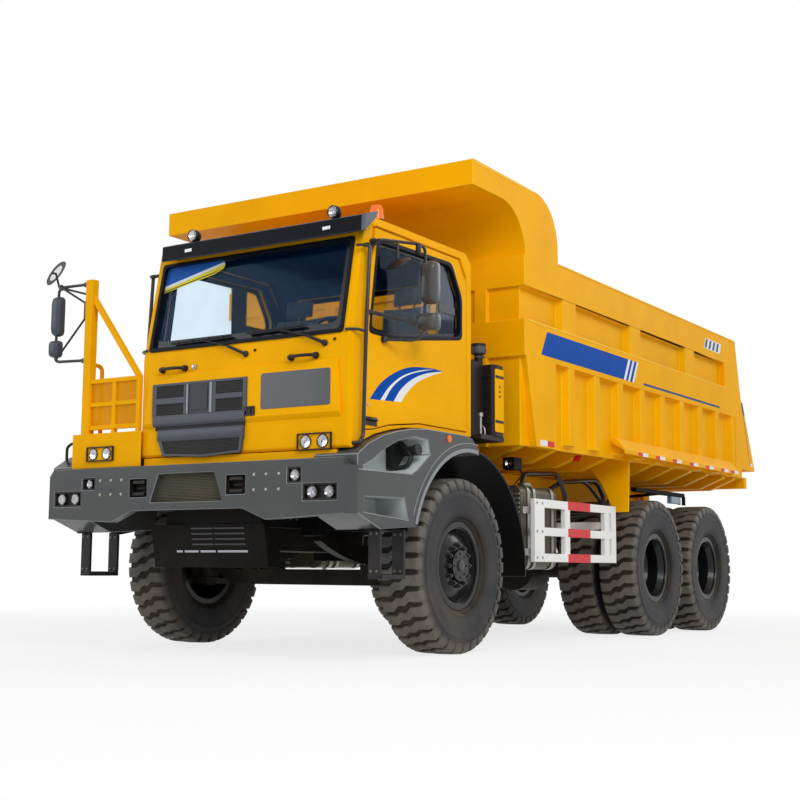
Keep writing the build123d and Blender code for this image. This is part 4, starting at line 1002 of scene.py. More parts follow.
bm = bmesh.new()
add_prism(bm, [(-3.36, 1.4), (-3.36, 1.59), (-3.2, 1.595), (-3.2, 1.52), (-3.31, 1.4)], "x",
          1.235, 1.3, BOTH)
add_tube(bm, [(1.34, -3.27, 1.53), (1.45, -3.28, 1.54)], 0.034, where=BOTH)
add_tube(bm, [(1.45, -3.28, 1.54), (1.475, -3.282, 1.543)], 0.044, sides=16, where=BOTH)
for shift in (0.0, 0.035):
    add_tube(bm, [(1.31, -3.27 - shift, 1.6), (1.43, -3.29 - shift * 0.7, 1.5),
                  (1.42, -3.33 - shift * 0.4, 1.42), (1.3, -3.34, 1.4)], 0.014, bend=0.05, where=BOTH)
made("washer_filler", bm, PLASTIC_BLACK, slot="grey_paint")

MARKER_ORANGE = finish("marker orange", (248, 120, 22), 0.2, dust=0.05, coat=0.4)
bm = bmesh.new()
add_knob(bm, [(-0.002, 0.03), (0.006, 0.03), (0.012, 0.022), (0.013, 0.0)],
         (FENDER_SIDE_X, -2.882, 1.654), X_AXIS, 24, BOTH)
made("side_markers", bm, MARKER_ORANGE, slot="grey_paint")

# ================================================================ inner mudguards
# Black rubber sheets behind the front wheels, their rolled edges in a lighter grey as a
# painted highlight. A black splash plate closes each wheel house towards the frame.
RUBBER_SHEET = finish("rubber sheet", (8, 8, 9), 0.6, dust=0.04, grain=150.0,
                      depth=0.0008, shine=0.1)
eased_part("inner_mudguards", 0.003, RUBBER_SHEET, finish("rubber edge highlight", (74, 76, 80), 0.5))
SPLASH_OUTLINE = [(-3.3, 1.385), (-3.3, 1.69), (-1.72, 1.69), (-1.72, 1.385)]
bm = bmesh.new()
add_prism(bm, SPLASH_OUTLINE, "x", 1.046, 1.052, BOTH)
add_block(bm, (1.046, -1.74, 1.56), (0.48, -1.732, 1.69), BOTH)
made("splash_plates", bm, RUBBER_SHEET)

# ================================================================ ladders
# A ladder with one serrated tread hangs below each fender from a dark bracket plate. Pressed
# steel, black, with red shields on the stringers and bolts near their tops and feet.
STRINGER_RED = finish("stringer red", (92, 16, 18), 0.4, dust=0.15)
LADDER_BLACK = finish("ladder black", (22, 23, 28), 0.4, dust=0.08)
eased_part("access_steps", 0.002, LADDER_BLACK)
bm = bmesh.new()
add_block(bm, (1.382, -3.4675, 0.625), (1.4785, -3.4655, 0.925), BOTH)
made("stringer_shields", bm, STRINGER_RED, bevel=0.0008)
TOOTH = [(-3.775, 0.613), (-3.755, 0.613), (-3.765, 0.621)]
for name, side in (("right", -1), ("left", 1)):
    bm = bmesh.new()
    add_prism(bm, TOOTH, "x", side * 1.375, side * 1.485)
    row_of(f"{name}_tread_teeth", shaped(bm), 13, (0.0, 0.0225, 0.0), LADDER_BLACK)
ladder_bolts = [
    ((side * x, y, z), FORWARD)
    for side in BOTH for y in (-3.802, -3.492) for z in (0.905, 0.64) for x in (1.405, 1.455)
]
bolt_on("ladder_bolts", ladder_bolts, 0.008, 0.006, BOLT_STEEL)
BRACKET = [(1.15, 0.985), (1.49, 0.985), (1.49, 0.93), (1.37, 0.93), (1.2, 0.955)]
bm = bmesh.new()
add_prism(bm, BRACKET, "y", -3.845, -3.812, BOTH)
add_prism(bm, BRACKET, "y", -3.462, -3.45, BOTH)
# The bracket plates take the underside black, partly painted shade.
made("ladder_brackets", bm, UNDERSIDE_BLACK_WITH_SHADE, bevel=0.003)

# ================================================================ deck and railing
# The walkway beside the cab: steel tread plate on a welded box, yellow gloss paint. The
# square-tube railing holds wire mesh, and its tall post carries the right-hand mirrors.
# A lighter yellow for broken edges and rail tops: a painted highlight.
YELLOW_EDGE_HIGHLIGHT = finish("machine yellow edge highlight", (255, 197, 30), 0.36, dust=0.02, shine=0.06)
eased_part("deck_platform", 0.004, YELLOW, YELLOW_EDGE_HIGHLIGHT)


def build_tread_plate_tree():
    """Raised lozenges in a grid, every other one turned across the first."""
    tree, given, out = new_shape_tree("tread plate", (
        ("Length", "Float", 1.0),
        ("Width", "Float", 0.5),
        ("Along", "Int", 10),
        ("Across", "Int", 5),
        ("Centre", "Vector", (0.0, 0.0, 0.0)),
        ("Finish", "Material", None),
    ))
    grid = add_node(tree, "GeometryNodeMeshGrid", {
        "Size X": given.outputs["Width"], "Size Y": given.outputs["Length"],
        "Vertices X": given.outputs["Across"], "Vertices Y": given.outputs["Along"],
    })
    index = add_node(tree, "GeometryNodeInputIndex").outputs[0]
    quarter = maths(tree, "MULTIPLY", maths(tree, "MODULO", index, 2.0), math.pi / 2)
    euler = add_node(tree, "ShaderNodeCombineXYZ", {"Z": maths(tree, "ADD", quarter, math.pi / 4)})
    turn = add_node(tree, "FunctionNodeEulerToRotation", {0: euler.outputs[0]})
    studs = add_node(tree, "GeometryNodeInstanceOnPoints", {
        "Points": grid.outputs["Mesh"], "Instance": given.outputs["Geometry"], "Rotation": turn.outputs[0],
    })
    moved = add_node(tree, "GeometryNodeTransform", {
        "Geometry": studs.outputs[0], "Translation": given.outputs["Centre"],
    })
    close_shape_tree(tree, given, out, moved.outputs[0])
    return tree


TREAD_PLATE = build_tread_plate_tree()


def lozenge():
    bm = bmesh.new()
    add_solid(bm, [
        [(-half, 0, z), (0, -across, z), (half, 0, z), (0, across, z)]
        for half, across, z in ((0.017, 0.006, 0.0), (0.012, 0.003, 0.0022))
    ])
    return shaped(bm)


studs = grown(TREAD_PLATE, "deck_studs", lozenge(), {
    "Length": 1.44, "Width": 0.62, "Along": 38, "Across": 17, "Centre": (-0.925, -3.17, 1.73),
    "Finish": YELLOW,
})
place("deck_studs", studs, "chassis", "yellow_paint")

RAILING_YS = (-4.12, -4.08)
RAIL_LEVELS = (1.74, 1.926, 2.113)
RAIL_BAR = 0.035
POST_XS = (-1.19, -1.112)
SILL_Z = 1.708
bm = bmesh.new()
for z in RAIL_LEVELS:
    add_block(bm, (POST_XS[1], RAILING_YS[0], z), (-0.59, RAILING_YS[1], z + RAIL_BAR))
for x in (-0.872, -0.61):
    add_block(bm, (x, RAILING_YS[0] + 0.001, SILL_Z), (x + RAIL_BAR, RAILING_YS[1] - 0.001, 2.1475))
add_block(bm, (POST_XS[0], -4.132, SILL_Z), (POST_XS[1], -4.065, 2.97))
brace = [(POST_XS[1], 2.842), (POST_XS[1], 2.771), (-0.627, 2.148), (-0.575, 2.148)]
add_prism(bm, brace, "y", RAILING_YS[0] + 0.002, RAILING_YS[1] - 0.002)
add_prism(bm, [(POST_XS[1], 1.775), (POST_XS[1], 1.9), (-1.04, 1.775)], "y", -4.092, -4.086)
railing = made("deck_railing_frame", bm, YELLOW, slot="yellow_paint", bevel=0.005)
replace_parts(railing, "deck_railing")
for index, z in enumerate(RAIL_LEVELS[:2]):
    for half, (x0, x1) in enumerate(((POST_XS[1], -0.872), (-0.837, -0.61))):
        wire_panel(f"railing_mesh_{index}_{half}", x0, x1, z + RAIL_BAR, RAIL_LEVELS[index + 1], -4.1,
                   30, 19, 0.0036, YELLOW, 0.002, "yellow_paint")
bm = bmesh.new()
add_tube(bm, [(-1.15, -4.08, 2.28), (-1.15, -3.96, 2.28), (-1.15, -3.96, SILL_Z)], 0.017, bend=0.08)
add_knob(bm, [(0.0, 0.034), (0.008, 0.034)], (-1.15, -3.96, SILL_Z), UP, 20)
made("deck_handrail", bm, YELLOW, slot="yellow_paint")
bm = bmesh.new()
add_tube(bm, [(-1.268, -4.05, 1.65), (-1.36, -4.06, 1.65), (-1.41, -4.065, 1.62), (-1.41, -4.065, 1.5),
              (-1.36, -4.06, 1.472), (-1.268, -4.05, 1.472)], 0.012, bend=0.04)
made("deck_side_handle", bm, PLASTIC_BLACK, slot="black_plastic")

# ================================================================ cab shell
# The cab is a welded sheet-steel box in the machine's yellow, with rounded front corners, a
# pressed front flap and a roof hatch. Dark trim lines it inside, painted deep blue as a painted
# reflection of the sky seen in the windows.
# Deep blue trim: a painted reflection of the sky that the windows show.
CAB_TRIM_PAINTED_SKY = finish("cab trim painted sky blue", (6, 42, 78), 0.85, dust=0.0, grain=220.0, shine=0.0)
CORNER_SPANS = ((1.4, -4.05, 2.4), (2.0, -3.8, 3.2))  # foot, y behind the corner, top
cab = eased_part("cab_shell", 0.006, YELLOW, round_width=0.045, round_boxes=[
    ((x - 0.01, -4.11, low), (x + 0.01, y, high)) for x in (1.42, -0.57) for low, y, high in CORNER_SPANS
])
CAB_INSIDE = (((-0.53, -4.055, 1.69), (1.38, -2.44, 2.31)), ((-0.53, -3.9, 2.3), (1.38, -2.44, 3.175)))
lined(cab, CAB_INSIDE, CAB_TRIM_PAINTED_SKY)

FLAP_SECTION = (  # y, z, x of the right and of the left end
    (-4.099, 2.136, -0.485, 1.31),
    (-4.11, 2.132, -0.485, 1.31),
    (-4.116, 2.122, -0.486, 1.311),
    (-4.116, 1.775, -0.518, 1.343),
    (-4.124, 1.757, -0.52, 1.345),
    (-4.121, 1.748, -0.52, 1.345),
    (-4.099, 1.716, -0.52, 1.345),
)
bm = bmesh.new()
add_solid(bm, [[(row[end], row[0], row[1]) for row in FLAP_SECTION] for end in (2, 3)])
made("front_flap", bm, YELLOW, slot="yellow_paint", bevel=0.003)
bm = bmesh.new()
add_prism(bm, [(-4.07, 1.428), (-4.092, 1.428), (-4.098, 1.434), (-4.098, 1.49), (-4.07, 1.49)], "x",
          -0.525, 1.3)
made("front_valance", bm, YELLOW, slot="yellow_paint", bevel=0.002)

ROOF_Z = 3.205
bm = bmesh.new()
add_prism(bm, [(0.1, -3.35), (0.85, -3.35), (0.9, -3.3), (0.9, -2.8), (0.85, -2.75), (0.1, -2.75),
               (0.05, -2.8), (0.05, -3.3)], "z", ROOF_Z - 0.002, ROOF_Z + 0.03)
for x1, y0, y1 in ((1.1, -3.6, -3.55), (1.1, -3.48, -3.43), (1.25, -2.66, -2.62), (1.25, -2.58, -2.54)):
    add_block(bm, (-0.4, y0, ROOF_Z - 0.002), (x1, y1, ROOF_Z + 0.008))
made("roof_hatch", bm, YELLOW, slot="yellow_paint", bevel=0.006)
bm = bmesh.new()
for x, side in ((1.42, 1), (-0.57, -1)):
    add_prism(bm, [(-3.8, 3.14), (-2.6, 3.14), (-2.5, 3.0), (-2.488, 3.004), (-2.592, 3.152),
                   (-3.805, 3.152)], "x", x - side * 0.002, x + side * 0.014)
made("rain_gutters", bm, YELLOW, slot="yellow_paint", bevel=0.002)
bm = bmesh.new()
for z in (1.98, 2.16, 2.34):
    add_block(bm, (-0.45, -2.402, z), (1.3, -2.392, z + 0.06))
made("rear_wall_ribs", bm, YELLOW, slot="yellow_paint", bevel=0.004)

# ================================================================ windscreen and its wipers
# Tinted laminated glass, bonded into a rubber gasket with a black printed border. Two wipers
# park low on it, and a plain coloured sun strip is stuck in its upper corner.
RUBBER_BLACK = finish("gasket rubber", (13, 17, 25), 0.5, dust=0.04, grain=180.0, shine=0.1)
BORDER_BLACK = finish("printed border", (18, 26, 36), 0.16, dust=0.05)
SCREEN_GLASS = clear_glass("screen glass", (236, 246, 252), ior=1.16)
# Its reflections are tinted blue: a painted reflection of blue sky.
screen_shader = SCREEN_GLASS.node_tree.nodes["Principled BSDF"]
screen_shader.inputs["Specular Tint"].default_value = (0.04, 0.36, 0.9, 1.0)
dress("cab_glass", SCREEN_GLASS)
SCREEN_LEAN = 0.14 / 0.705


def rounded(corners, radius, steps=5):
    """A flat closed outline with its corners rounded."""
    loop = [Vector(corner) for corner in corners]
    run = []
    for index, corner in enumerate(loop):
        for step in range(steps + 1):
            share = step / steps
            back = loop[index - 1] - corner
            ahead = loop[(index + 1) % len(loop)] - corner
            start = corner + back.normalized() * radius
            end = corner + ahead.normalized() * radius
            run.append(start.lerp(corner, share).lerp(corner.lerp(end, share), share))
    return run


def add_band(bm, outer, inner, shift):
    """A flat band between two closed outlines of as many points, made as thick as the shift."""
    still = (0, 0, 0)
    rings = [
        [bm.verts.new(Vector(point) + Vector(offset)) for point in outline]
        for outline, offset in ((outer, still), (outer, shift), (inner, shift), (inner, still))
    ]
    add_walls(bm, zip(rings, rings[1:] + rings[:1]))


def add_sheet(bm, outline, shift):
    """A flat closed outline of points in space, made as thick as the shift."""
    add_solid(bm, [[Vector(point) + Vector(offset) for point in outline] for offset in ((0, 0, 0), shift)])


def on_screen(outline, out):
    """Points given as (x, z), set a little in front of the windscreen."""
    return [(x, -4.07 + (z - 2.332) * SCREEN_LEAN - out, z) for x, z in outline]


def box_outline(a0, b0, a1, b1, radius):
    """A flat oblong between two corners, itself with rounded corners."""
    return rounded([(a0, b0), (a1, b0), (a1, b1), (a0, b1)], radius)


def across_x(outline, x):
    """Points given as (y, z), set at an x."""
    return [(x, y, z) for y, z in outline]


def across_y(outline, y):
    """Points given as (x, z), set at a y."""
    return [(x, y, z) for x, z in outline]


bm = bmesh.new()
add_band(bm, on_screen(box_outline(-0.488, 2.332, 1.338, 3.033, 0.02), 0.002),
         on_screen(box_outline(-0.447, 2.405, 1.268, 3.008, 0.045), 0.002), (0, -0.0015, 0))
made("screen_border", bm, BORDER_BLACK, slot="clear_glass")
bm = bmesh.new()
add_band(bm, on_screen(box_outline(-0.502, 2.318, 1.352, 3.046, 0.03), 0.037),
         on_screen(box_outline(-0.472, 2.348, 1.322, 3.02, 0.04), 0.037), (0, 0.035, 0))
add_band(bm, across_y(box_outline(-0.3, 2.45, 1.15, 3.0, 0.03), -2.426),
         across_y(box_outline(-0.262, 2.488, 1.112, 2.962, 0.05), -2.426), (0, 0.032, 0))
made("screen_gaskets", bm, RUBBER_BLACK, slot="black_plastic", bevel=0.003)

SUN_STRIP = (  # name, colour, outline as (x, z)
    ("blue", (36, 92, 176), ((-0.486, 2.862), (0.106, 3.004), (0.112, 3.026), (-0.486, 3.026))),
    ("white", (226, 232, 232), ((-0.486, 2.838), (0.122, 2.984), (0.106, 3.004), (-0.486, 2.862))),
    ("yellow", (226, 208, 46), ((-0.486, 2.808), (0.028, 2.912), (0.112, 2.951), (0.122, 2.984),
                                (-0.486, 2.838))),
    ("dark", (24, 44, 74), ((-0.486, 2.822), (0.02, 2.93), (0.08, 2.956), (0.078, 2.95),
                            (0.022, 2.922), (-0.486, 2.814))),
)
for name, colour, outline in SUN_STRIP:
    bm = bmesh.new()
    add_sheet(bm, on_screen(outline, 0.0045 if name != "dark" else 0.005), (0, -0.0008, 0))
    strip = finish(f"strip {name}", colour, 0.4, dust=0.05, shine=0.05)
    made(f"sun_strip_{name}", bm, strip, slot="clear_glass")

WIPERS = (  # the arm's pivot x and z, the blade's ends as x and z
    (0.473, 2.231, (-0.27, 2.372), (0.311, 2.384)),
    (1.195, 2.252, (0.47, 2.388), (0.994, 2.4)),
)
bm = bmesh.new()
for x, z, near, far in WIPERS:
    middle = ((near[0] + far[0]) / 2, (near[1] + far[1]) / 2)
    blade = on_screen([near, middle, far], 0.04)
    add_knob(bm, [(0.0, 0.024), (0.014, 0.024), (0.022, 0.016)], (x, -4.098, z), FORWARD, 20)
    add_tube(bm, [(x, -4.112, z), (x - 0.16, -4.124, z + 0.07)], 0.012, sides=8)
    add_tube(bm, [(x - 0.15, -4.122, z + 0.066), blade[1]], 0.007, sides=8)
    add_tube(bm, blade, 0.008, sides=6)
    for share in (0.12, 0.36, 0.64, 0.88):
        start = Vector(blade[0]).lerp(Vector(blade[2]), share)
        add_block(bm, start - Vector((0.012, 0.016, 0.007)), start + Vector((0.012, 0.012, 0.009)))
    add_tube(bm, [Vector(point) + Vector((0, 0.02, 0)) for point in blade], 0.005, sides=6)
    nozzle = (x + 0.085, -4.1, z + 0.022)
    add_knob(bm, [(-0.002, 0.012), (0.008, 0.01), (0.012, 0.0)], nozzle, FORWARD, 14)
made("wipers", bm, PLASTIC_BLACK, slot="black_plastic")

# ================================================================ cab front fittings
# Two black bow handles and a bright lock for the flap, a plain grey name panel with nothing
# on it, and a small black socket cover.
HANDLE_BLACK = finish("handle black", (30, 27, 27), 0.32, dust=0.15)
bm = bmesh.new()
for x0, x1 in ((-0.371, -0.094), (0.875, 1.144)):
    add_tube(bm, [(x0 + 0.02, -4.1, 2.168), (x0 + 0.03, -4.14, 2.168), (x0 + 0.1, -4.152, 2.17),
                  (x1 - 0.1, -4.152, 2.17), (x1 - 0.03, -4.14, 2.168), (x1 - 0.02, -4.1, 2.168)],
             0.0125, bend=0.03)
    for x in (x0 + 0.025, x1 - 0.025):
        add_knob(bm, [(0.0, 0.027), (0.026, 0.022), (0.04, 0.014)], (x, -4.099, 2.168), FORWARD, 20)
made("front_handles", bm, HANDLE_BLACK, slot="black_plastic")
bm = bmesh.new()
add_knob(bm, [(0.0, 0.021), (0.012, 0.021), (0.018, 0.012), (0.026, 0.012), (0.028, 0.0)],
         (-0.024, -4.099, 2.172), FORWARD, 20)
made("flap_lock", bm, SCRAPED_STEEL, slot="yellow_paint")
PANEL_GREY = finish("panel grey", (78, 81, 85), 0.32, dust=0.1, coat=0.3)
bm = bmesh.new()
add_sheet(bm, across_y(box_outline(0.632, 1.806, 1.258, 2.07, 0.022), -4.1155), (0, -0.003, 0))
made("front_name_panel", bm, PANEL_GREY, slot="yellow_paint", bevel=0.0008)
bm = bmesh.new()
add_frame(bm, 0.483, 0.579, 1.765, 1.835, -4.13, -4.114, 0.012)
add_block(bm, (0.495, -4.12, 1.777), (0.567, -4.114, 1.823))
add_block(bm, (0.52, -4.127, 1.783), (0.545, -4.119, 1.817))
made("socket_cover", bm, HANDLE_BLACK, slot="black_plastic", bevel=0.001)

# ================================================================ grille
# A moulded dark grey frame with two rows of mesh, a blank badge plate in the middle between
# bright bars, and a lower mesh panel whose foot runs to a shallow point.
GRILLE_GREY = finish("grille grey", (76, 81, 89), 0.36, dust=0.15)
BAR_GREY = finish("grille bar", (128, 132, 138), 0.3, dust=0.1, metallic=0.3)
MESH_DARK = finish("mesh dark", (74, 75, 74), 0.5, dust=0.15)
FLAP_Y = -4.116
GRILLE_BARS = (  # x0, x1, z0, z1, y of the front
    (-0.428, -0.385, 1.8, 2.058, -4.128),
    (0.47, 0.505, 1.8, 2.058, -4.128),
    (-0.385, 0.47, 2.039, 2.058, -4.128),
    (-0.385, -0.08, 1.899, 1.945, -4.131),
    (0.178, 0.47, 1.908, 1.947, -4.131),
    (-0.405, 0.48, 1.79, 1.812, -4.13),
    (-0.108, -0.084, 1.812, 2.039, -4.129),
    (0.178, 0.21, 1.812, 2.039, -4.129),
)
bm = bmesh.new()
for x0, x1, z0, z1, front_y in GRILLE_BARS:
    add_block(bm, (x0, front_y, z0), (x1, FLAP_Y + 0.006, z1))
add_prism(bm, [(FLAP_Y + 0.004, 1.802), (-4.131, 1.802), (-4.137, 1.78), (-4.134, 1.742), (-4.122, 1.726),
               (-4.1, 1.726)], "x", -0.415, 0.492)
add_prism(bm, [(-4.099, 1.702), (-4.119, 1.702), (-4.131, 1.68), (-4.13, 1.628), (-4.122, 1.61),
               (-4.099, 1.61)], "x", -0.368, 0.478)
add_prism(bm, [(-0.37, 1.64), (-0.336, 1.64), (-0.288, 1.514), (-0.31, 1.5)], "y", -4.127, -4.099)
add_prism(bm, [(0.478, 1.64), (0.455, 1.5), (0.435, 1.515), (0.452, 1.64)], "y", -4.127, -4.099)
add_prism(bm, [(-0.31, 1.5), (-0.292, 1.518), (0.086, 1.498), (0.436, 1.518), (0.455, 1.5),
               (0.09, 1.48)], "y", -4.128, -4.099)
grille = made("grille_frame", bm, GRILLE_GREY, slot="dark_mesh", bevel=0.003)
# A black strip fills the gap between the upper and lower grilles: painted shade.
bm = bmesh.new()
add_block(bm, (-0.4, -4.114, 1.698), (0.48, -4.0995, 1.728))
made("grille_gap_shade", bm, POCKET_BLACK, slot="dark_mesh")
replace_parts(grille, "front_grille")
bm = bmesh.new()
add_block(bm, (-0.078, -4.133, 1.812), (-0.06, FLAP_Y, 2.042))
add_block(bm, (0.152, -4.133, 1.812), (0.176, FLAP_Y, 2.042))
made("badge_bars", bm, BAR_GREY, slot="dark_mesh", bevel=0.002)
bm = bmesh.new()
add_block(bm, (-0.06, -4.124, 1.812), (0.152, FLAP_Y, 2.042))
add_prism(bm, [(-0.038, 1.836), (0.13, 1.836), (0.13, 2.018), (-0.038, 2.018)], "y", -4.128, -4.124)
made("blank_badge_plate", bm, BORDER_BLACK, slot="dark_mesh", bevel=0.002)
bm = bmesh.new()
add_block(bm, (-0.385, FLAP_Y - 0.0012, 1.812), (0.47, FLAP_Y + 0.002, 2.039))
add_block(bm, (-0.336, -4.104, 1.5), (0.452, -4.099, 1.612))
made("grille_backing", bm, POCKET_BLACK, slot="dark_mesh")
GRILLE_OPENINGS = (  # x0, x1, z0, z1
    (-0.385, -0.108, 1.945, 2.039),
    (-0.385, -0.108, 1.812, 1.899),
    (0.21, 0.47, 1.947, 2.039),
    (0.21, 0.47, 1.812, 1.908),
)
for index, opening in enumerate(GRILLE_OPENINGS):
    wire_panel(f"grille_mesh_{index}", *opening, -4.122, 34, 9, 0.0016, MESH_DARK, 0.001)
wire_grid("grille_mesh_lower", [(-0.345, -4.117, 1.615), (0.458, -4.117, 1.615), (0.436, -4.117, 1.506),
                                (-0.29, -4.117, 1.506)], 100, 12, 0.0016, MESH_DARK, 0.001)

# ================================================================ sun visor and roof lamps
# A folded visor in satin dark blue, its left end grey. Two round work lamps stand on it,
# two small marker lamps sit in its face, and an amber beacon is bolted to the roof.
VISOR_NAVY = finish("visor navy", (7, 11, 20), 0.45, dust=0.01, shine=0.08)
VISOR_GREY = finish("visor grey", (92, 98, 110), 0.4, dust=0.1)
# The visor's broken edges wear a lighter blue-grey as a painted highlight.
visor = eased_part("sun_visor", 0.004, VISOR_NAVY, finish("visor edge highlight", (50, 60, 80), 0.3))
lined(visor, [((1.484, -4.1, 3.0), (1.51, -3.87, 3.23))], VISOR_GREY)
bm = bmesh.new()
add_prism(bm, [(-4.059, 3.048), (-4.051, 3.165), (-4.046, 3.166), (-4.046, 3.048)], "x", 1.468, 1.4995)
made("visor_end_strip", bm, VISOR_GREY, slot="visor_plastic")
WORK_LAMP_XS = (-0.15, 1.195)
WORK_LAMP_Z = 3.228
bm = bmesh.new()
for x in WORK_LAMP_XS:
    bowl = [(0.045, 0.02), (0.03, 0.04), (-0.002, 0.05), (-0.006, 0.05)]
    add_knob(bm, bowl, (x, -4.0, WORK_LAMP_Z), (0, 1, 0))
    add_block(bm, (x - 0.012, -3.995, 3.176), (x + 0.012, -3.965, 3.2))
made("work_lamp_bodies", bm, PLASTIC_BLACK, slot="black_plastic")
work_lamps = [((x, -4.002, WORK_LAMP_Z), 0.042, 0.03) for x in WORK_LAMP_XS]
lamp_set("work_lamp", work_lamps, BULB_WHITE, "black_plastic")
bm = bmesh.new()
for x in (-0.165, 1.16):
    add_prism(bm, [(x - 0.033, 3.092), (x + 0.033, 3.094), (x + 0.033, 3.118), (x - 0.033, 3.116)], "y",
              -4.06, -4.048)
made("visor_markers", bm, BULB_WHITE, slot="lamp_lens", bevel=0.001)
BEACON_SPOT = (1.2, -3.46, ROOF_Z)
bm = bmesh.new()
add_knob(bm, [(0.0, 0.075), (0.01, 0.075), (0.014, 0.03), (0.06, 0.03), (0.064, 0.064), (0.086, 0.062)],
         BEACON_SPOT, UP, 32)
made("beacon_foot", bm, PLASTIC_BLACK, slot="black_plastic")
bm = bmesh.new()
add_knob(bm, [(0.086, 0.058), (0.165, 0.052), (0.2, 0.036), (0.208, 0.0)], BEACON_SPOT, UP, 32)
made("beacon_dome", bm, MARKER_ORANGE, slot="lamp_lens")

# ================================================================ doors
# Sheet-steel doors hung at the rear edge, each with a bonded window, a black pull handle and
# a lock. A blue and white swoosh of vinyl is stuck on the left one.
LEFT_DOOR_X = 1.42
RIGHT_DOOR_X = -0.57
WINDOW = [(-3.87, 2.35), (-3.5, 2.35), (-2.56, 2.49), (-2.56, 2.82), (-2.72, 3.07), (-3.77, 3.05)]
for node, low_x, high_x in (("left_door", 1.3, 1.378), ("right_door", -0.528, -0.45)):
    panel = eased_part(node, 0.004, YELLOW)
    # The door's inside takes the trim painted sky blue, a painted reflection.
    lined(panel, [((low_x, -4.0, 1.5), (high_x, -2.4, 3.2))], CAB_TRIM_PAINTED_SKY)
for node in ("left_door_glass", "right_door_glass"):
    dress(node, SCREEN_GLASS)


def shrunk(outline, amount):
    """A convex outline with every side moved inwards by the same amount."""
    points = [Vector(point) for point in outline]
    turn = sum(a.x * b.y - b.x * a.y for a, b in zip(points, points[1:] + points[:1]))
    sign = 1 if turn > 0 else -1
    moved = []
    for index, corner in enumerate(points):
        before = (corner - points[index - 1]).normalized()
        after = (points[(index + 1) % len(points)] - corner).normalized()
        inward = (Vector((-before.y, before.x)) + Vector((-after.y, after.x))) * sign
        moved.append(corner + inward.normalized() * amount / max(0.3, math.cos(before.angle(after) / 2)))
    return moved


def window_ring(grow_out, grow_in, x):
    """The outer and the inner edge of a band round the window, at an x."""
    edges = rounded(shrunk(WINDOW, grow_out), 0.05), rounded(shrunk(WINDOW, grow_in), 0.07)
    return [across_x(edge, x) for edge in edges]


PULL = ((0.004, -3.915), (0.026, -3.9), (0.026, -3.795), (0.004, -3.78))  # out from the skin, y
DOORS = (  # side, name, x of its skin, y of the window's rear bar, z of the handle
    (1, "left_door", LEFT_DOOR_X, -2.905, 1.672),
    (-1, "right_door", RIGHT_DOOR_X, -3.07, 1.8),
)
for side, name, x, post_y, handle_z in DOORS:
    bm = bmesh.new()
    add_band(bm, *window_ring(-0.012, 0.018, x + side * 0.004), (-side * 0.03, 0, 0))
    made(f"{name}_gasket", bm, RUBBER_BLACK, name, "black_plastic", bevel=0.003)
    bm = bmesh.new()
    glass_x = x - side * 0.0245
    add_band(bm, *window_ring(0.001, 0.04, glass_x), (side * 0.0012, 0, 0))
    for bar in ([(post_y, 2.42), (-2.87, 2.42), (-2.87, 3.05), (post_y, 3.05)],
                [(-2.88, 2.67), (-2.57, 2.67), (-2.57, 2.735), (-2.88, 2.735)]):
        add_sheet(bm, across_x(bar, glass_x), (side * 0.0014, 0, 0))
    made(f"{name}_window_border", bm, BORDER_BLACK, name, "clear_glass")
    bm = bmesh.new()
    add_block(bm, (x - side * 0.001, -3.922, handle_z), (x + side * 0.006, -3.77, handle_z + 0.062))
    add_tube(bm, [(x + side * out, y, handle_z + 0.042) for out, y in PULL], 0.009, bend=0.012)
    made(f"{name}_handle", bm, HANDLE_BLACK, name, "black_plastic", bevel=0.001)
    bm = bmesh.new()
    lock = (x, -3.879, handle_z + 0.146)
    add_knob(bm, [(-0.001, 0.011), (0.004, 0.011), (0.005, 0.0)], lock, (side, 0, 0), 18)
    made(f"{name}_lock", bm, SCRAPED_STEEL, name, "yellow_paint")

SWOOSH_BLUE = (2, 78, 170)
SWOOSH_WHITE = (240, 240, 236)
SWOOSH_RUNS = (  # colour, lower edge as (y, z) from its foot to its tip, upper edge the same way
    (SWOOSH_BLUE, ((-3.725, 1.868), (-3.6, 1.985), (-3.42, 2.085), (-3.18, 2.155), (-2.96, 2.19)),
     ((-3.86, 1.862), (-3.73, 1.985), (-3.54, 2.09), (-3.3, 2.165), (-2.95, 2.196))),
    (SWOOSH_WHITE, ((-3.668, 1.871), (-3.56, 1.985), (-3.385, 2.085), (-3.16, 2.15), (-2.955, 2.187)),
     ((-3.725, 1.868), (-3.6, 1.985), (-3.42, 2.085), (-3.18, 2.155), (-2.96, 2.19))),
    (SWOOSH_BLUE, ((-3.545, 1.879), (-3.46, 1.97), (-3.31, 2.065), (-3.11, 2.138), (-2.841, 2.192)),
     ((-3.668, 1.871), (-3.56, 1.985), (-3.385, 2.085), (-3.16, 2.15), (-2.955, 2.191))),
    (SWOOSH_WHITE, ((-3.44, 1.885), (-3.375, 1.955), (-3.25, 2.042), (-3.07, 2.118), (-2.86, 2.18)),
     ((-3.545, 1.879), (-3.46, 1.97), (-3.31, 2.065), (-3.11, 2.138), (-2.85, 2.188))),
)


def smooth_run(points, steps=6):
    """A smooth curve through flat points."""
    run = [Vector(point) for point in points]
    padded_run = [run[0] * 2 - run[1], *run, run[-1] * 2 - run[-2]]
    curve = []
    for a, b, c, d in zip(padded_run, padded_run[1:], padded_run[2:], padded_run[3:]):
        for step in range(steps):
            t = step / steps
            curve.append(0.5 * (2 * b + (c - a) * t + (2 * a - 5 * b + 4 * c - d) * t ** 2
                                + (3 * b - a - 3 * c + d) * t ** 3))
    return [*curve, run[-1]]


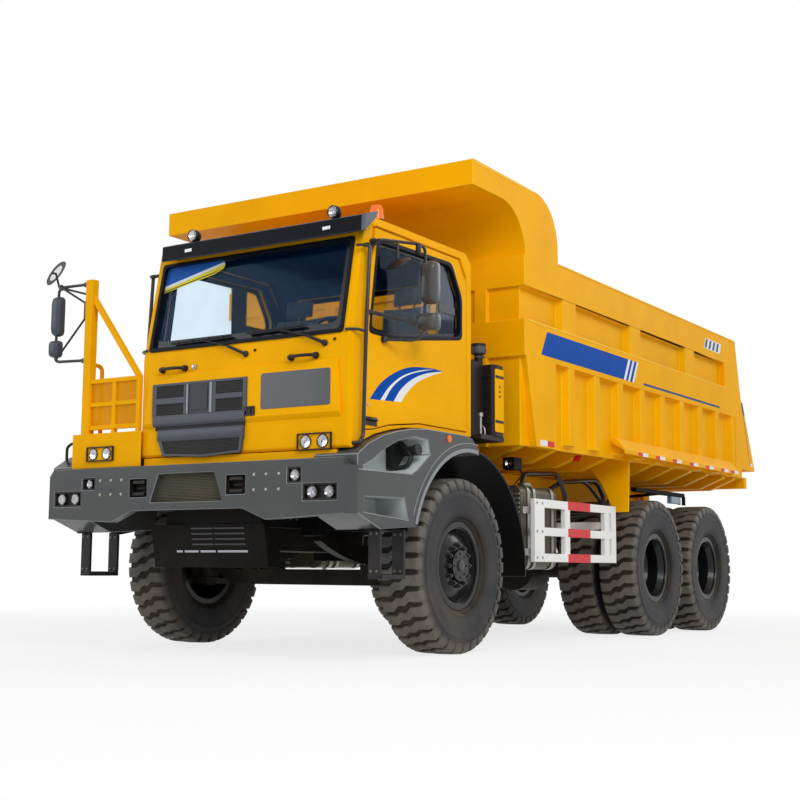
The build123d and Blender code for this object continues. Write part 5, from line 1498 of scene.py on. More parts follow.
for index, (colour, lower, upper) in enumerate(SWOOSH_RUNS):
    bm = bmesh.new()
    low, high = smooth_run(lower), smooth_run(upper)
    for (near_low, far_low), (near_high, far_high) in zip(zip(low, low[1:]), zip(high, high[1:])):
        corners = (near_low, far_low, far_high, near_high)
        add_sheet(bm, across_x(corners, LEFT_DOOR_X + 0.0003), (0.0006, 0, 0))
    bmesh.ops.remove_doubles(bm, verts=bm.verts, dist=1e-5)
    inner_walls = [face for face in bm.faces if all(len(edge.link_faces) > 2 for edge in face.edges[:])]
    bmesh.ops.delete(bm, geom=inner_walls, context="FACES_ONLY")
    vinyl = finish(f"vinyl {index}", colour, 0.35, dust=0.0, shine=0.02)
    made(f"door_swoosh_{index}", bm, vinyl, "left_door", "yellow_paint")

# A steel bar stands before each door, held off the cab by two stays.
BAR_BLACK = finish("grab bar black", (40, 40, 44), 0.28, dust=0.1, coat=0.3)
BAR_OUT = 0.06
BARS = (  # side, x of the bar's foot, points below the middle as (y, z)
    (1, 1.412, ((-4.013, 1.583), (-4.056, 1.53))),
    (-1, -0.562, ((-3.999, 1.98),)),
)
BAR_STAYS = (  # radius, bend, then points as (share of the way out, way in beside it, y, z)
    (0.011, 0.03, ((1, 0.0, -3.989, 2.328), (1, 0.02, -4.07, 2.335), (0, 0.04, -4.104, 2.335))),
    (0.01, 0.02, ((1, 0.0, -3.953, 2.95), (1, 0.02, -4.01, 2.955), (0, 0.01, -4.02, 2.955))),
)
bm = bmesh.new()
for side, x, foot in BARS:
    out_x = x + side * BAR_OUT
    foot_y, foot_z = foot[-1]
    bar = [(x, -3.95, 2.969), (out_x, -3.952, 2.969), (out_x, -3.989, 2.328)]
    bar += [(out_x, y, z) for y, z in foot]
    add_tube(bm, [*bar, (x, foot_y - 0.004, foot_z)], 0.0145, bend=0.04, sides=16)
    for radius, bend, points in BAR_STAYS:
        stay = [(x + side * (BAR_OUT * out - back), y, z) for out, back, y, z in points]
        add_tube(bm, stay, radius, bend, sides=10)
made("cab_grab_bars", bm, BAR_BLACK, slot="black_plastic")

# ================================================================ mirrors
# Moulded mirror heads on bent steel tube. The left set is clamped to the door and swings with
# it, and the right set stands on the deck's post. The mirror faces look back.
MIRROR_GREY = finish("mirror shell", (78, 76, 73), 0.3, dust=0.1, coat=0.35)
MIRROR_DARK = finish("mirror dark", (30, 32, 36), 0.35, dust=0.1)
MIRROR_FACE = finish("mirror face", (214, 218, 222), 0.04, dust=0.02, metallic=1.0, depth=0.00005)
LEFT_HEADS = (  # middle, width, depth, height, corner radius
    ((1.628, -3.39, 2.777), 0.135, 0.095, 0.325, 0.045),
    ((1.62, -3.4, 2.474), 0.18, 0.09, 0.135, 0.04),
)
RIGHT_HEADS = (
    ((-1.49, -4.15, 2.697), 0.1, 0.075, 0.332, 0.04),
    ((-1.505, -4.15, 2.427), 0.105, 0.075, 0.141, 0.036),
)
HEAD_CROWN = (  # share of the depth behind the middle, share of the size
    (0.5, 0.97), (0.38, 1.0), (0.0, 0.99), (-0.25, 0.93), (-0.4, 0.8), (-0.48, 0.55), (-0.5, 0.2),
)
DISHES = {  # the middle, the way the glass looks, its radius
    "left_mirrors": ((1.545, -3.7, 2.885), (0.1, 0.55, -0.83), 0.1),
    "right_mirrors": ((-1.541, -4.157, 3.076), (0.657, 0.479, -0.584), 0.121),
}


def add_mirror_head(bm, faces, middle, width, depth, height, corner):
    """A mirror shell that is crowned in front, with the glass let into its back."""
    x, y, z = middle

    def section(at, wide, tall, turn):
        """The outline at a share of the depth, with shares of the width, height and corner."""
        half_x, half_z = width * wide, height * tall
        outline = box_outline(x - half_x, z - half_z, x + half_x, z + half_z, corner * turn)
        return across_y(outline, y + depth * at)

    add_solid(bm, [section(at, share / 2, share / 2, share) for at, share in HEAD_CROWN])
    glass = [(a, b + 0.0005, c) for a, b, c in section(0.5, 0.43, 0.45, 0.85)]
    add_sheet(faces, glass, (0, 0.002, 0))


def mirror_set(name, body, heads, shell, tubes):
    """The heads, the round dish, the glasses and the tubes of one side's mirrors."""
    bm, dark, faces, arms = (bmesh.new() for _ in range(4))
    for head in heads:
        add_mirror_head(bm, faces, *head)
    for points, radius in tubes:
        add_tube(arms, points, radius, bend=0.05, sides=14)
    middle, aim, radius = DISHES[name]
    add_knob(dark, [(0.0, radius * 0.4), (0.014, radius * 0.96), (0.024, radius), (0.024, radius * 0.95),
                    (0.012, 0.0)], middle, aim)
    add_knob(faces, [(0.017, radius * 0.88), (0.02, radius * 0.88)], middle, aim)
    made(f"{name}_dark_shells", dark, MIRROR_DARK, body, "black_plastic")
    made(f"{name}_glasses", faces, MIRROR_FACE, body, "black_plastic")
    arms_piece = made(f"{name}_arms", arms, BAR_BLACK, body, "black_plastic")
    made(f"{name}_heads", bm, shell, body, "black_plastic")
    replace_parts(arms_piece, name)


mirror_set("left_mirrors", "left_door", LEFT_HEADS, MIRROR_GREY, (
    ([(1.43, -3.86, 3.012), (1.5, -3.85, 3.018), (1.59, -3.5, 3.05), (1.6, -3.405, 3.04),
      (1.6, -3.405, 2.385), (1.56, -3.48, 2.33), (1.44, -3.7, 2.315)], 0.012),
    ([(1.43, -3.897, 2.49), (1.5, -3.7, 2.475), (1.6, -3.43, 2.45)], 0.015),
    ([(1.425, -3.905, 2.7), (1.43, -3.895, 2.95), (1.5, -3.86, 3.015)], 0.01),
    ([(1.545, -3.7, 3.03), (1.545, -3.7, 2.9)], 0.011),
    ([(1.412, -3.86, 3.012), (1.456, -3.86, 3.012)], 0.024),
    ([(1.412, -3.7, 2.315), (1.45, -3.7, 2.315)], 0.026),
    ([(1.6, -3.5, 3.048), (1.6, -3.5, 2.995), (1.58, -3.49, 2.985)], 0.022),
))
MIRROR_SLATE = finish("mirror slate", (70, 76, 84), 0.3, dust=0.1)
mirror_set("right_mirrors", "chassis", RIGHT_HEADS, MIRROR_SLATE, (
    ([(-1.19, -4.1, 2.942), (-1.48, -4.15, 2.934), (-1.5, -4.15, 2.318), (-1.19, -4.1, 2.315)], 0.012),
    ([(-1.205, -4.1, 2.86), (-1.45, -4.145, 2.93)], 0.009),
    ([(-1.205, -4.1, 2.78), (-1.45, -4.145, 2.93)], 0.009),
    ([(-1.205, -4.1, 2.68), (-1.49, -4.149, 2.335)], 0.009),
    ([(-1.48, -4.15, 2.934), (-1.53, -4.148, 3.062)], 0.009),
    ([(-1.185, -4.1, 2.942), (-1.23, -4.1, 2.942)], 0.022),
    ([(-1.208, -4.1, 2.66), (-1.208, -4.1, 2.8)], 0.022),
    ([(-1.185, -4.1, 2.315), (-1.23, -4.1, 2.315)], 0.022),
    ([(-1.45, -4.145, 2.915), (-1.465, -4.148, 2.95)], 0.02),
))

# ================================================================ seats
# Two seats on box pedestals with rubber bellows. Foam cushions in dark woven cloth, with two
# sewn channels, a welt round every edge and a separate head pad on two posts.


def build_weave():
    """Plain woven cloth: threads that cross at right angles, finer than a millimetre or two."""
    tree, given, out = new_group("cloth weave", (("Threads", "Float", 420.0),), (
        ("Height", "Float"),
        ("Tone", "Float"),
    ))
    place_at = add_node(tree, "ShaderNodeTexCoord").outputs["Object"]
    waves = [
        add_node(tree, "ShaderNodeTexWave", {
            "Vector": place_at, "Scale": given.outputs["Threads"], "Distortion": 1.5, "Detail": 1.0,
        }, wave_type="BANDS", bands_direction=direction).outputs[1]
        for direction in ("X", "Z")
    ]
    height = maths(tree, "MAXIMUM", waves[0], waves[1])
    fading = add_node(tree, "ShaderNodeTexNoise", {
        "Vector": place_at, "Scale": 14.0, "Detail": 3.0,
    }).outputs[0]
    raised = remap(tree, height, 0.0, 1.0, 0.7, 1.1)
    tone = maths(tree, "MULTIPLY", raised, remap(tree, fading, 0.3, 0.7, 0.85, 1.1))
    tree.links.new(height, out.inputs["Height"])
    tree.links.new(tone, out.inputs["Tone"])
    return tree


WEAVE = build_weave()


def woven_cloth(name, paint):
    """Seat cloth of one colour with its threads in relief."""
    material = bpy.data.materials.new(name)
    material.use_nodes = True
    tree = material.node_tree
    shader = tree.nodes["Principled BSDF"]
    weave = add_node(tree, "ShaderNodeGroup", node_tree=WEAVE)
    toned = blend_colours(tree, 1.0, colour_card(*paint), weave.outputs["Tone"], "MULTIPLY")
    bump = add_node(tree, "ShaderNodeBump", {
        "Height": weave.outputs["Height"], "Strength": 0.5, "Distance": 0.0006,
    })
    tree.links.new(toned, shader.inputs["Base Color"])
    tree.links.new(bump.outputs[0], shader.inputs["Normal"])
    shader.inputs["Roughness"].default_value = 0.9
    shader.inputs["Sheen Weight"].default_value = 0.25
    return material


SEAT_CLOTH = woven_cloth("seat cloth", (66, 76, 84))
WELT_CLOTH = woven_cloth("welt cloth", (40, 44, 48))

PAD_COUNT = 26
PAD_STATIONS = [math.sin(math.pi / 2 * t) for t in spread(-1.0, 1.0, PAD_COUNT + 1)]
PAD_PULL = 0.045  # how far the sides draw in at their middles
PAD_EDGE_POWER = 0.36
CHANNELS = (-0.46, 0.46)
CHANNEL_DEPTH, CHANNEL_WIDTH = 0.01, 0.035


def pad_point(u, v, side, size, crown):
    """A point on a cushion's skin, from -1 to 1 across and along, on its upper or lower side."""
    width, length, thickness = size
    x = u * width / 2 * (1 - PAD_PULL * (1 - v * v))
    y = v * length / 2 * (1 - PAD_PULL * (1 - u * u))
    inside = abs(u) < 1 and abs(v) < 1
    edge = ((1 - u ** 8) * (1 - v ** 8)) ** PAD_EDGE_POWER if inside else 0.0
    z = side * thickness / 2 * edge
    if side > 0:
        z += crown * (1 - u * u) * (1 - v * v)
        for channel in CHANNELS:
            z -= CHANNEL_DEPTH * edge * math.exp(-((u - channel) / CHANNEL_WIDTH) ** 2)
    return Vector((x, y, z))


def add_skin(bm, rim, point_at):
    """One skin of a pad, with a point at each pair of stations. Both skins share the rim's points."""
    ends = (PAD_STATIONS[0], PAD_STATIONS[-1])
    grid = []
    for v in PAD_STATIONS:
        line = []
        for u in PAD_STATIONS:
            vert = rim.get((u, v)) or bm.verts.new(point_at(u, v))
            if u in ends or v in ends:
                rim[u, v] = vert
            line.append(vert)
        grid.append(line)
    for near, far in zip(grid, grid[1:]):
        for column in range(PAD_COUNT):
            bm.faces.new((near[column], near[column + 1], far[column + 1], far[column]))


def seat_pad(name, centre, size, lean, crown):
    """A crowned foam pad whose two skins meet at a welted rim."""
    turn = Matrix.Translation(centre) @ Matrix.Rotation(math.radians(lean), 4, "X")
    bm = bmesh.new()
    rim = {}
    for side in (1, -1):
        add_skin(bm, rim, lambda u, v: turn @ pad_point(u, v, side, size, crown))
    pad = made(name, bm, SEAT_CLOTH, slot="seat_cloth", smooth=180)
    around = [(t, -1.0) for t in PAD_STATIONS] + [(1.0, t) for t in PAD_STATIONS[1:]]
    around += [(t, 1.0) for t in PAD_STATIONS[-2::-1]] + [(-1.0, t) for t in PAD_STATIONS[-2::-1]]
    bm = bmesh.new()
    add_tube(bm, [turn @ pad_point(u, v, 1, size, crown) for u, v in around], 0.004, sides=8)
    made(f"{name}_welt", bm, WELT_CLOTH, slot="seat_cloth")
    return pad


SEAT_XS = (("driver", 0.98), ("passenger", -0.12))
cushions = []
for name, x in SEAT_XS:
    cushions.append(seat_pad(f"{name}_cushion", (x, -3.01, 2.195), (0.47, 0.47, 0.112), 0, 0.016))
    seat_pad(f"{name}_backrest", (x, -2.722, 2.5), (0.44, 0.54, 0.095), 82, 0.014)
    seat_pad(f"{name}_head_pad", (x, -2.668, 2.86), (0.26, 0.14, 0.08), 84, 0.01)
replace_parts(cushions[0], "seats")
bm = bmesh.new()
for _, x in SEAT_XS:
    for level, z in enumerate(spread(1.8, 2.06, 6)):
        reach = 0.165 if level % 2 else 0.15
        add_block(bm, (x - reach, -3.01 - reach, z), (x + reach, -3.01 + reach, z + 0.052))
    add_block(bm, (x - 0.2, -3.2, 2.11), (x + 0.2, -2.8, 2.138))
    for post_x in (x - 0.07, x + 0.07):
        add_tube(bm, [(post_x, -2.69, 2.74), (post_x, -2.676, 2.84)], 0.007, sides=10)
    for hinge_x in (x - 0.225, x + 0.215):
        add_block(bm, (hinge_x, -2.83, 2.12), (hinge_x + 0.01, -2.76, 2.3))
made("seat_pedestals", bm, RUBBER_BLACK, slot="black_plastic", bevel=0.006)

# ================================================================ dashboard
# A moulded panel across the cab in textured dark plastic, with two round dials before the
# driver, two rows of switches and a thick-rimmed steering wheel.
DASH_PLASTIC = finish("dash plastic", (40, 46, 52), 0.6, dust=0.05, grain=240.0, depth=0.0006)
eased_part("dashboard", 0.006, DASH_PLASTIC)
bm = bmesh.new()
add_prism(bm, [(-3.96, 2.3), (-3.9, 2.35), (-3.8, 2.345), (-3.775, 2.28)], "x", 0.72, 1.24)
for row, z in enumerate((2.175, 2.215)):
    for column in range(7):
        x = 0.1 + column * 0.055
        add_block(bm, (x, -3.752 - row * 0.012, z), (x + 0.042, -3.728 - row * 0.012, z + 0.024))
made("dash_cluster", bm, PLASTIC_BLACK, slot="black_plastic", bevel=0.004)
DIAL_WHITE = finish("dial white", (216, 220, 220), 0.35, dust=0.0)
DIAL_FACING = (0, 0.96, 0.28)
dials, rings = bmesh.new(), bmesh.new()
for x in (0.88, 1.08):
    spot = (x, -3.7745, 2.305)
    add_knob(dials, [(0.0, 0.048), (0.003, 0.048)], spot, DIAL_FACING)
    bezel = [(-0.002, 0.046), (-0.002, 0.056), (0.008, 0.054), (0.008, 0.047)]
    add_lathe(rings, bezel, spot, DIAL_FACING, 28)
    add_block(rings, (x - 0.003, -3.774, 2.3), (x + 0.003, -3.766, 2.338))
made("dash_dials", dials, DIAL_WHITE, slot="black_plastic")
made("dash_dial_rings", rings, SCRAPED_STEEL, slot="black_plastic")

# ================================================================ air intake
# Behind the cab stand a black cooler box, the air filter in its round-edged case with a
# yellow side panel, and the intake pipe with its rain cap.
INTAKE_BLACK = finish("intake black", (30, 25, 26), 0.45, dust=0.2)
eased_part("air_cleaner", 0.005, INTAKE_BLACK)
bm = bmesh.new()
add_sheet(bm, across_x(box_outline(-2.166, 1.775, -2.014, 2.296, 0.022), 1.5085), (0.004, 0, 0))
made("filter_side_panel", bm, YELLOW, slot="yellow_paint", bevel=0.001)
bm = bmesh.new()
for z in (2.06, 2.1, 2.14):
    add_block(bm, (1.512, -2.1, z), (1.5135, -2.076, z + 0.018))
band_edges = (
    box_outline(1.374, -2.186, 1.516, -1.994, 0.045),
    box_outline(1.379, -2.181, 1.511, -1.999, 0.041),
)
for z in (1.85, 2.22):
    add_band(bm, *[[(x, y, z) for x, y in edge] for edge in band_edges], (0, 0, 0.022))
made("filter_bands", bm, PLASTIC_BLACK, slot="black_plastic")
bm = bmesh.new()
PIPE_SPOT = (1.33, -2.12, 0.0)
for z in (1.9, 2.18, 2.4):
    add_lathe(bm, hoop(z, z + 0.014, 0.0355, 0.0395), PIPE_SPOT, UP, 28)
    add_block(bm, (1.36, -2.13, z - 0.002), (1.385, -2.11, z + 0.016))
add_knob(bm, [(2.436, 0.036), (2.43, 0.046), (2.44, 0.064), (2.47, 0.068), (2.505, 0.06), (2.522, 0.03),
              (2.526, 0.0)], PIPE_SPOT, UP, 32)
made("intake_clamps", bm, WORN_BLACK, slot="black_plastic")
bm = bmesh.new()
for x in spread(1.2, 1.395, 9):
    add_block(bm, (x - 0.003, -2.378, 1.765), (x + 0.003, -2.369, 2.32))
for z in (1.745, 2.322):
    add_block(bm, (1.185, -2.38, z), (1.408, -2.365, z + 0.018))
made("cooler_box_grid", bm, POCKET_BLACK, slot="black_plastic", bevel=0.001)
GALVANISED = finish("galvanised", (172, 172, 166), 0.4, dust=0.15, metallic=0.6)
bm = bmesh.new()
add_tube(bm, [(1.415, -2.235, 1.745), (1.415, -2.235, 1.905), (1.37, -2.215, 1.925)], 0.011, bend=0.02)
add_knob(bm, [(0.0, 0.022), (0.03, 0.022), (0.036, 0.012)], (1.415, -2.235, 1.895), UP, 18)
add_tube(bm, [(1.44, -2.21, 1.745), (1.44, -2.21, 1.8), (1.4, -2.195, 1.83), (1.36, -2.195, 1.83)], 0.008,
         bend=0.03)
made("intake_fittings", bm, GALVANISED, slot="driveline_steel")

# ================================================================ tanks
# Fuel tank on the left and oil tank on the right, pressed from steel with rounded edges and
# sprayed olive grey. Two straps, a filler and a ribbed front shield fit on each.
TANK_GREY = finish("tank grey", (86, 82, 68), 0.38, dust=0.2, metallic=0.25)
STRAP_STEEL = finish("strap steel", (160, 158, 150), 0.34, dust=0.25, metallic=0.8)
eased_part("side_tanks", 0.004, TANK_GREY)
STRAP_EDGES = (
    box_outline(0.752, 0.657, 1.358, 1.393, 0.074),
    box_outline(0.758, 0.663, 1.352, 1.387, 0.069),
)
RIB = ((1.13, -1.4205), (1.13, -1.434), (1.346, -1.434), (1.346, -1.4205))
for name, side in (("left", 1), ("right", -1)):
    bm = bmesh.new()
    for y in (-1.3, -1.19, -0.84):
        add_band(bm, *[[(side * x, y, z) for x, z in edge] for edge in STRAP_EDGES], (0, 0.045, 0))
    add_knob(bm, [(0.0, 0.07), (0.02, 0.07), (0.026, 0.06), (0.045, 0.06), (0.05, 0.05)],
             (side * 1.18, -1.02, 1.383), UP)
    drain = (side * 1.0, -1.05, 0.662)
    add_knob(bm, [(-0.01, 0.022), (0.012, 0.022), (0.016, 0.0)], drain, (0, 0, -1), 16)
    made(f"{name}_tank_straps", bm, STRAP_STEEL, slot="tank_paint")
    bm = bmesh.new()
    add_prism(bm, [(side * x, y) for x, y in RIB], "z", 0.7, 0.722)
    row_of(f"{name}_tank_ribs", shaped(bm, bevel=0.004), 16, (0.0, 0.0, 0.04), STRAP_STEEL, "tank_paint")

# ================================================================ side guards
# A flat white frame between the axles on each side, welded from square tube, with a red
# reflecting patch on every rail.
GUARD_WHITE = finish("guard white", (248, 247, 243), 0.34, dust=0.08, coat=0.1)
GUARD_RED = finish("guard red", (222, 26, 36), 0.3, dust=0.1)
eased_part("side_guards", 0.004, GUARD_WHITE)
bm = bmesh.new()
for z in (0.725, 0.95, 1.193):
    add_block(bm, (1.4535, -0.79, z - 0.0015), (1.5015, -0.32, z + 0.0735), BOTH)
made("guard_patches", bm, GUARD_RED, slot="white_paint", bevel=0.001)
guard_bolts = [
    ((side * 1.5, y, z), (side, 0, 0))
    for side in BOTH for y in (-1.4, -1.3) for z in (0.761, 0.986, 1.229)
]
bolt_on("guard_bolts", guard_bolts, 0.009, 0.006, GALVANISED, slot="white_paint")

# ================================================================ pipes, lamps and stays
# Bent steel pipes run from the tanks to the frame. Behind them a stay over the twin wheels
# carries a small lamp, and another lamp hangs on a forked bracket by the front mudguard.
PIPE_BLACK = finish("pipe black", (26, 26, 27), 0.28, dust=0.15, coat=0.3)
PIPE_RUNS = (  # radius, then the points on the left side
    (0.023, ((1.15, -1.01, 1.38), (1.15, -0.985, 1.515), (1.15, -0.28, 1.56), (1.15, -0.1, 1.34),
             (1.12, -0.09, 1.15), (0.47, -0.09, 1.13))),
    (0.023, ((0.47, -0.35, 1.2), (0.9, -0.33, 1.3), (1.14, -0.18, 1.49), (1.15, 0.6, 1.545),
             (1.15, 0.8, 1.35), (1.1, 0.66, 1.22), (0.47, 0.5, 1.15))),
    (0.018, ((1.15, 0.3, 1.515), (1.15, 0.43, 1.48), (1.15, 0.73, 1.32), (1.06, 0.62, 1.23),
             (0.47, 0.56, 1.21))),
)
bm = bmesh.new()
for radius, points in PIPE_RUNS:
    add_tube(bm, points, radius, bend=0.1, sides=14, where=BOTH)
made("frame_pipes", bm, PIPE_BLACK)
STAY_BLOCKS = (  # two opposite corners on the left side
    ((1.24, 1.26, 1.47), (1.3, 2.64, 1.512)),
    ((1.255, 2.52, 1.385), (1.285, 2.55, 1.475)),
    ((1.33, -1.7, 1.5), (1.44, -1.56, 1.605)),
    ((1.285, 2.58, 1.38), (1.315, 2.62, 1.475)),
)
STAY_RODS = (  # ends on the left side, radius
    (((1.42, -1.503, 1.472), (1.42, -1.731, 1.329)), 0.007),
    (((1.42, -1.885, 1.4), (1.42, -1.731, 1.329)), 0.007),
    (((1.42, -1.731, 1.345), (1.42, -1.705, 1.14)), 0.01),
    (((1.42, -1.503, 1.47), (1.4, -1.64, 1.56)), 0.007),
)
bm = bmesh.new()
for low, high in STAY_BLOCKS:
    add_block(bm, low, high, BOTH)
for y in (1.935, 1.965):
    add_tube(bm, [(0.47, y, 1.2), (0.7, y, 1.44), (1.27, y, 1.48)], 0.014, bend=0.08, where=BOTH)
for ends, radius in STAY_RODS:
    add_tube(bm, ends, radius, sides=8, where=BOTH)
# The stays take the underside black, partly painted shade.
made("stays", bm, UNDERSIDE_BLACK_WITH_SHADE, bevel=0.002)
LAMP_BLUE = finish("lamp blue", (150, 178, 206), 0.15, dust=0.2, coat=0.4)
lamp_set("stay_lamp", [((side * 1.39, -1.701, 1.552), 0.032, 0.018) for side in BOTH], MARKER_ORANGE,
         "black_plastic")
bm = bmesh.new()
add_block(bm, (1.245, 2.24, 1.388), (1.3, 2.5, 1.468), BOTH)
made("rear_side_lamps", bm, LAMP_BLUE, slot="lamp_lens", bevel=0.008)

# ================================================================ dump bed
# The bed is welded steel plate: corrugated side walls between a mid band and a top rail, a
# canopy over the cab and tapered bearers below. Yellow gloss outside, dull and scuffed inside.
BED_LINING = finish("bed lining", (226, 152, 34), 0.6, dust=0.5, grain=20.0, depth=0.0015)
# The shell's and the bearers' broken edges wear the lighter yellow as a painted highlight.
bed = eased_part("bed_shell", 0.006, YELLOW, YELLOW_EDGE_HIGHLIGHT)
lined(bed, [((-1.541, -1.796, 1.769), (1.541, 3.69, 3.36))], BED_LINING)
LIP_X = 1.7205  # leaves room for the tape on the guards' lips within the truck's width
WALL_X, WALL_FOOT = 1.54, (3.686, 1.776)  # where the side walls end at the tail
foot_boxes = [((x - 0.0002, 3.679, 1.755), (x + 0.0002, 3.681, 1.757)) for x in (-WALL_X, WALL_X)]
for vert in bed.data.vertices:
    vert.co.x = min(max(vert.co.x, -LIP_X), LIP_X)
    if within(vert.co, foot_boxes):  # keeps the walls' flat faces free of slivers
        vert.co.yz = WALL_FOOT
eased_part("bed_sills", 0.005, YELLOW)
eased_part("bed_bearers", 0.005, YELLOW, YELLOW_EDGE_HIGHLIGHT)

# Thin strips in the lighter edge yellow along the top rail, the mid band and the canopy: painted
# highlights.
RAIL_HIGHLIGHT_CAPS = (  # two opposite corners on the left side
    ((1.532, -1.18, 3.3365), (1.6265, 3.52, 3.3515)),
    ((1.616, -1.8, 2.7455), (1.6235, 3.18, 2.7625)),
    ((1.5965, -2.7, 3.88), (1.6235, -1.66, 3.896)),
)
bm = bmesh.new()
for low, high in RAIL_HIGHLIGHT_CAPS:
    add_block(bm, low, high, BOTH)
made("bed_rail_highlight_caps", bm, YELLOW_EDGE_HIGHLIGHT, "dump_bed", "yellow_paint", bevel=0.003)
bm = bmesh.new()
for profile in ([(1.54, 0.06), (1.566, 0.06)], [(1.566, 0.034), (1.584, 0.034), (1.588, 0.028)]):
    add_knob(bm, profile, (0, 3.5, 3.24), X_AXIS, where=BOTH)
made("tailgate_pin_caps", bm, YELLOW, "dump_bed", "yellow_paint")
bm = bmesh.new()
for x in (-0.9, -0.3, 0.3, 0.9):
    add_prism(bm, [(-2.66, 3.716), (-2.24, 3.716), (-2.24, 3.775), (-2.62, 3.895), (-2.66, 3.895)],
              "x", x - 0.008, x + 0.008)
made("canopy_gussets", bm, YELLOW, "dump_bed", "yellow_paint", bevel=0.001)

# ================================================================ stripes and reflectors
# Vinyl laid on the bed: a plain blue label with slanted stripes, a thin dark line, a small
# striped mark, and red and white reflecting tape along its lower edges.
BAND_X = 1.62
LABEL_FOOT_Z, LABEL_TOP_Z = 2.49, 2.703
LABEL_SLANT = 0.118
VINYL_BLUE = finish("vinyl blue", (2, 78, 170), 0.3, dust=0.0, shine=0.02)
VINYL_WHITE = finish("vinyl white", (240, 240, 236), 0.3, dust=0.08, shine=0.1)
VINYL_NAVY = finish("vinyl navy", (40, 72, 116), 0.35, dust=0.1, shine=0.1)
TAPE_RED = finish("tape red", (226, 52, 40), 0.3, dust=0.08, shine=0.1)
TAPE_WHITE = finish("tape white", (244, 238, 236), 0.3, dust=0.05, shine=0.1)


def slanted(bm, start, end, foot_z, top_z, slant, out=0.0004):
    """Thin slanted patches on both outsides of the bed, between two lengths along it."""
    for side in BOTH:
        outline = [(start, foot_z), (end, foot_z), (end + slant, top_z), (start + slant, top_z)]
        add_sheet(bm, across_x(outline, side * (BAND_X + out)), (side * 0.0007, 0, 0))


LABEL_SPANS = {  # start and end along the foot of the band
    "blue": ((-1.54, 0.225), (0.278, 0.33), (0.375, 0.432)),
    "white": ((0.225, 0.278), (0.33, 0.375), (0.432, 0.475)),
}
blues, whites, navies = bmesh.new(), bmesh.new(), bmesh.new()
for bm, colour in ((blues, "blue"), (whites, "white")):
    for start, end in LABEL_SPANS[colour]:
        slanted(bm, start, end, LABEL_FOOT_Z, LABEL_TOP_Z, LABEL_SLANT)
slanted(whites, 2.475, 2.985, 3.125, 3.245, 0.062)
for start in (2.5, 2.62, 2.74, 2.86):
    slanted(navies, start, start + 0.06, 3.135, 3.235, 0.05, 0.0012)
slanted(navies, 0.715, 2.94, 2.492, 2.516, 0.01)
made("label_blue", blues, VINYL_BLUE, "dump_bed", "yellow_paint")
made("label_white", whites, VINYL_WHITE, "dump_bed", "yellow_paint")
made("bed_navy_marks", navies, VINYL_NAVY, "dump_bed", "yellow_paint")

TAPE_X = LIP_X + 0.0003
reds, whites = bmesh.new(), bmesh.new()
add_block(whites, (1.6203, -1.57, 1.705), (1.6213, -1.43, 1.755), BOTH)
add_block(reds, (1.6203, -1.43, 1.705), (1.6213, -1.3, 1.755), BOTH)
add_block(whites, (1.538, -0.8, 1.712), (1.546, -0.7, 1.752), BOTH)
add_prism(reds, [(1.5, 1.64), (1.53, 1.705), (1.455, 1.7), (1.43, 1.65)], "y", -0.5465, -0.5455, BOTH)
for start in (0.32, 0.76, 1.22, 1.7, 2.18, 2.66, 3.0):
    add_block(reds, (TAPE_X, start, 1.754), (TAPE_X + 0.0006, start + 0.11, 1.788), BOTH)
    add_block(whites, (TAPE_X, start + 0.11, 1.754), (TAPE_X + 0.0006, start + 0.245, 1.788), BOTH)
made("tape_red", reds, TAPE_RED, "dump_bed", "yellow_paint")
made("tape_white", whites, TAPE_WHITE, "dump_bed", "yellow_paint")

# ================================================================ tailgate
# A kinked gate of thick plate with flared side wings, hung from two trunnions above. Ribs
# stiffen its back, and a blue strip and a thin line of vinyl run down each wing.
# The gate's broken edges wear the lighter yellow as a painted highlight.
eased_part("tailgate", 0.005, YELLOW, YELLOW_EDGE_HIGHLIGHT)
GATE_BACK = Vector((3.79, 2.66)), Vector((4.2, 1.85))
bm = bmesh.new()
for x in (-1.2, -0.72, -0.24, 0.24, 0.72, 1.2):
    add_prism(bm, [(3.604, 3.24), (3.64, 3.22), (3.816, 2.64), (4.196, 1.9), (4.17, 1.909), (3.784, 2.65)],
              "x", x - 0.045, x + 0.045)
for share in (0.3, 0.72):
    y, z = GATE_BACK[0].lerp(GATE_BACK[1], share)
    outline = [(y - 0.03, z + 0.045), (y + 0.012, z + 0.06), (y + 0.046, z - 0.01), (y + 0.02, z - 0.05)]
    add_prism(bm, outline, "x", -1.5, 1.5)
made("tailgate_ribs", bm, YELLOW, "tailgate", "yellow_paint", bevel=0.004)
WING_X = 1.6053
WING_PATCHES = (  # name, finish, outlines as (y, z)
    ("stripes", VINYL_NAVY, ([(3.745, 2.63), (3.792, 2.648), (3.868, 2.498), (3.81, 2.5)],
                             [(3.81, 2.5), (3.824, 2.5), (4.03, 1.9), (4.016, 1.9)])),
    ("tape", TAPE_WHITE, ([(4.04, 1.9), (4.11, 1.9), (4.095, 1.935), (4.025, 1.935)],)),
)
for name, vinyl, outlines in WING_PATCHES:
    bm = bmesh.new()
    for outline in outlines:
        add_prism(bm, outline, "x", WING_X, WING_X + 0.0007, BOTH)
    made(f"tailgate_{name}", bm, vinyl, "tailgate", "yellow_paint")

# ================================================================ floor, light and camera
# A pale studio floor that fades out round the truck, soft light from large panels, and a
# camera low in front of the truck's left corner.
scene = bpy.context.scene
scene.view_settings.view_transform = "Standard"

FLOOR_SIZE = 60.0
FLOOR_FADE = (5.5, 11.0)  # distances from the middle where the floor begins and ends to clear
FLOOR_LIFT = 0.78  # share of plain white that the camera sees in the floor


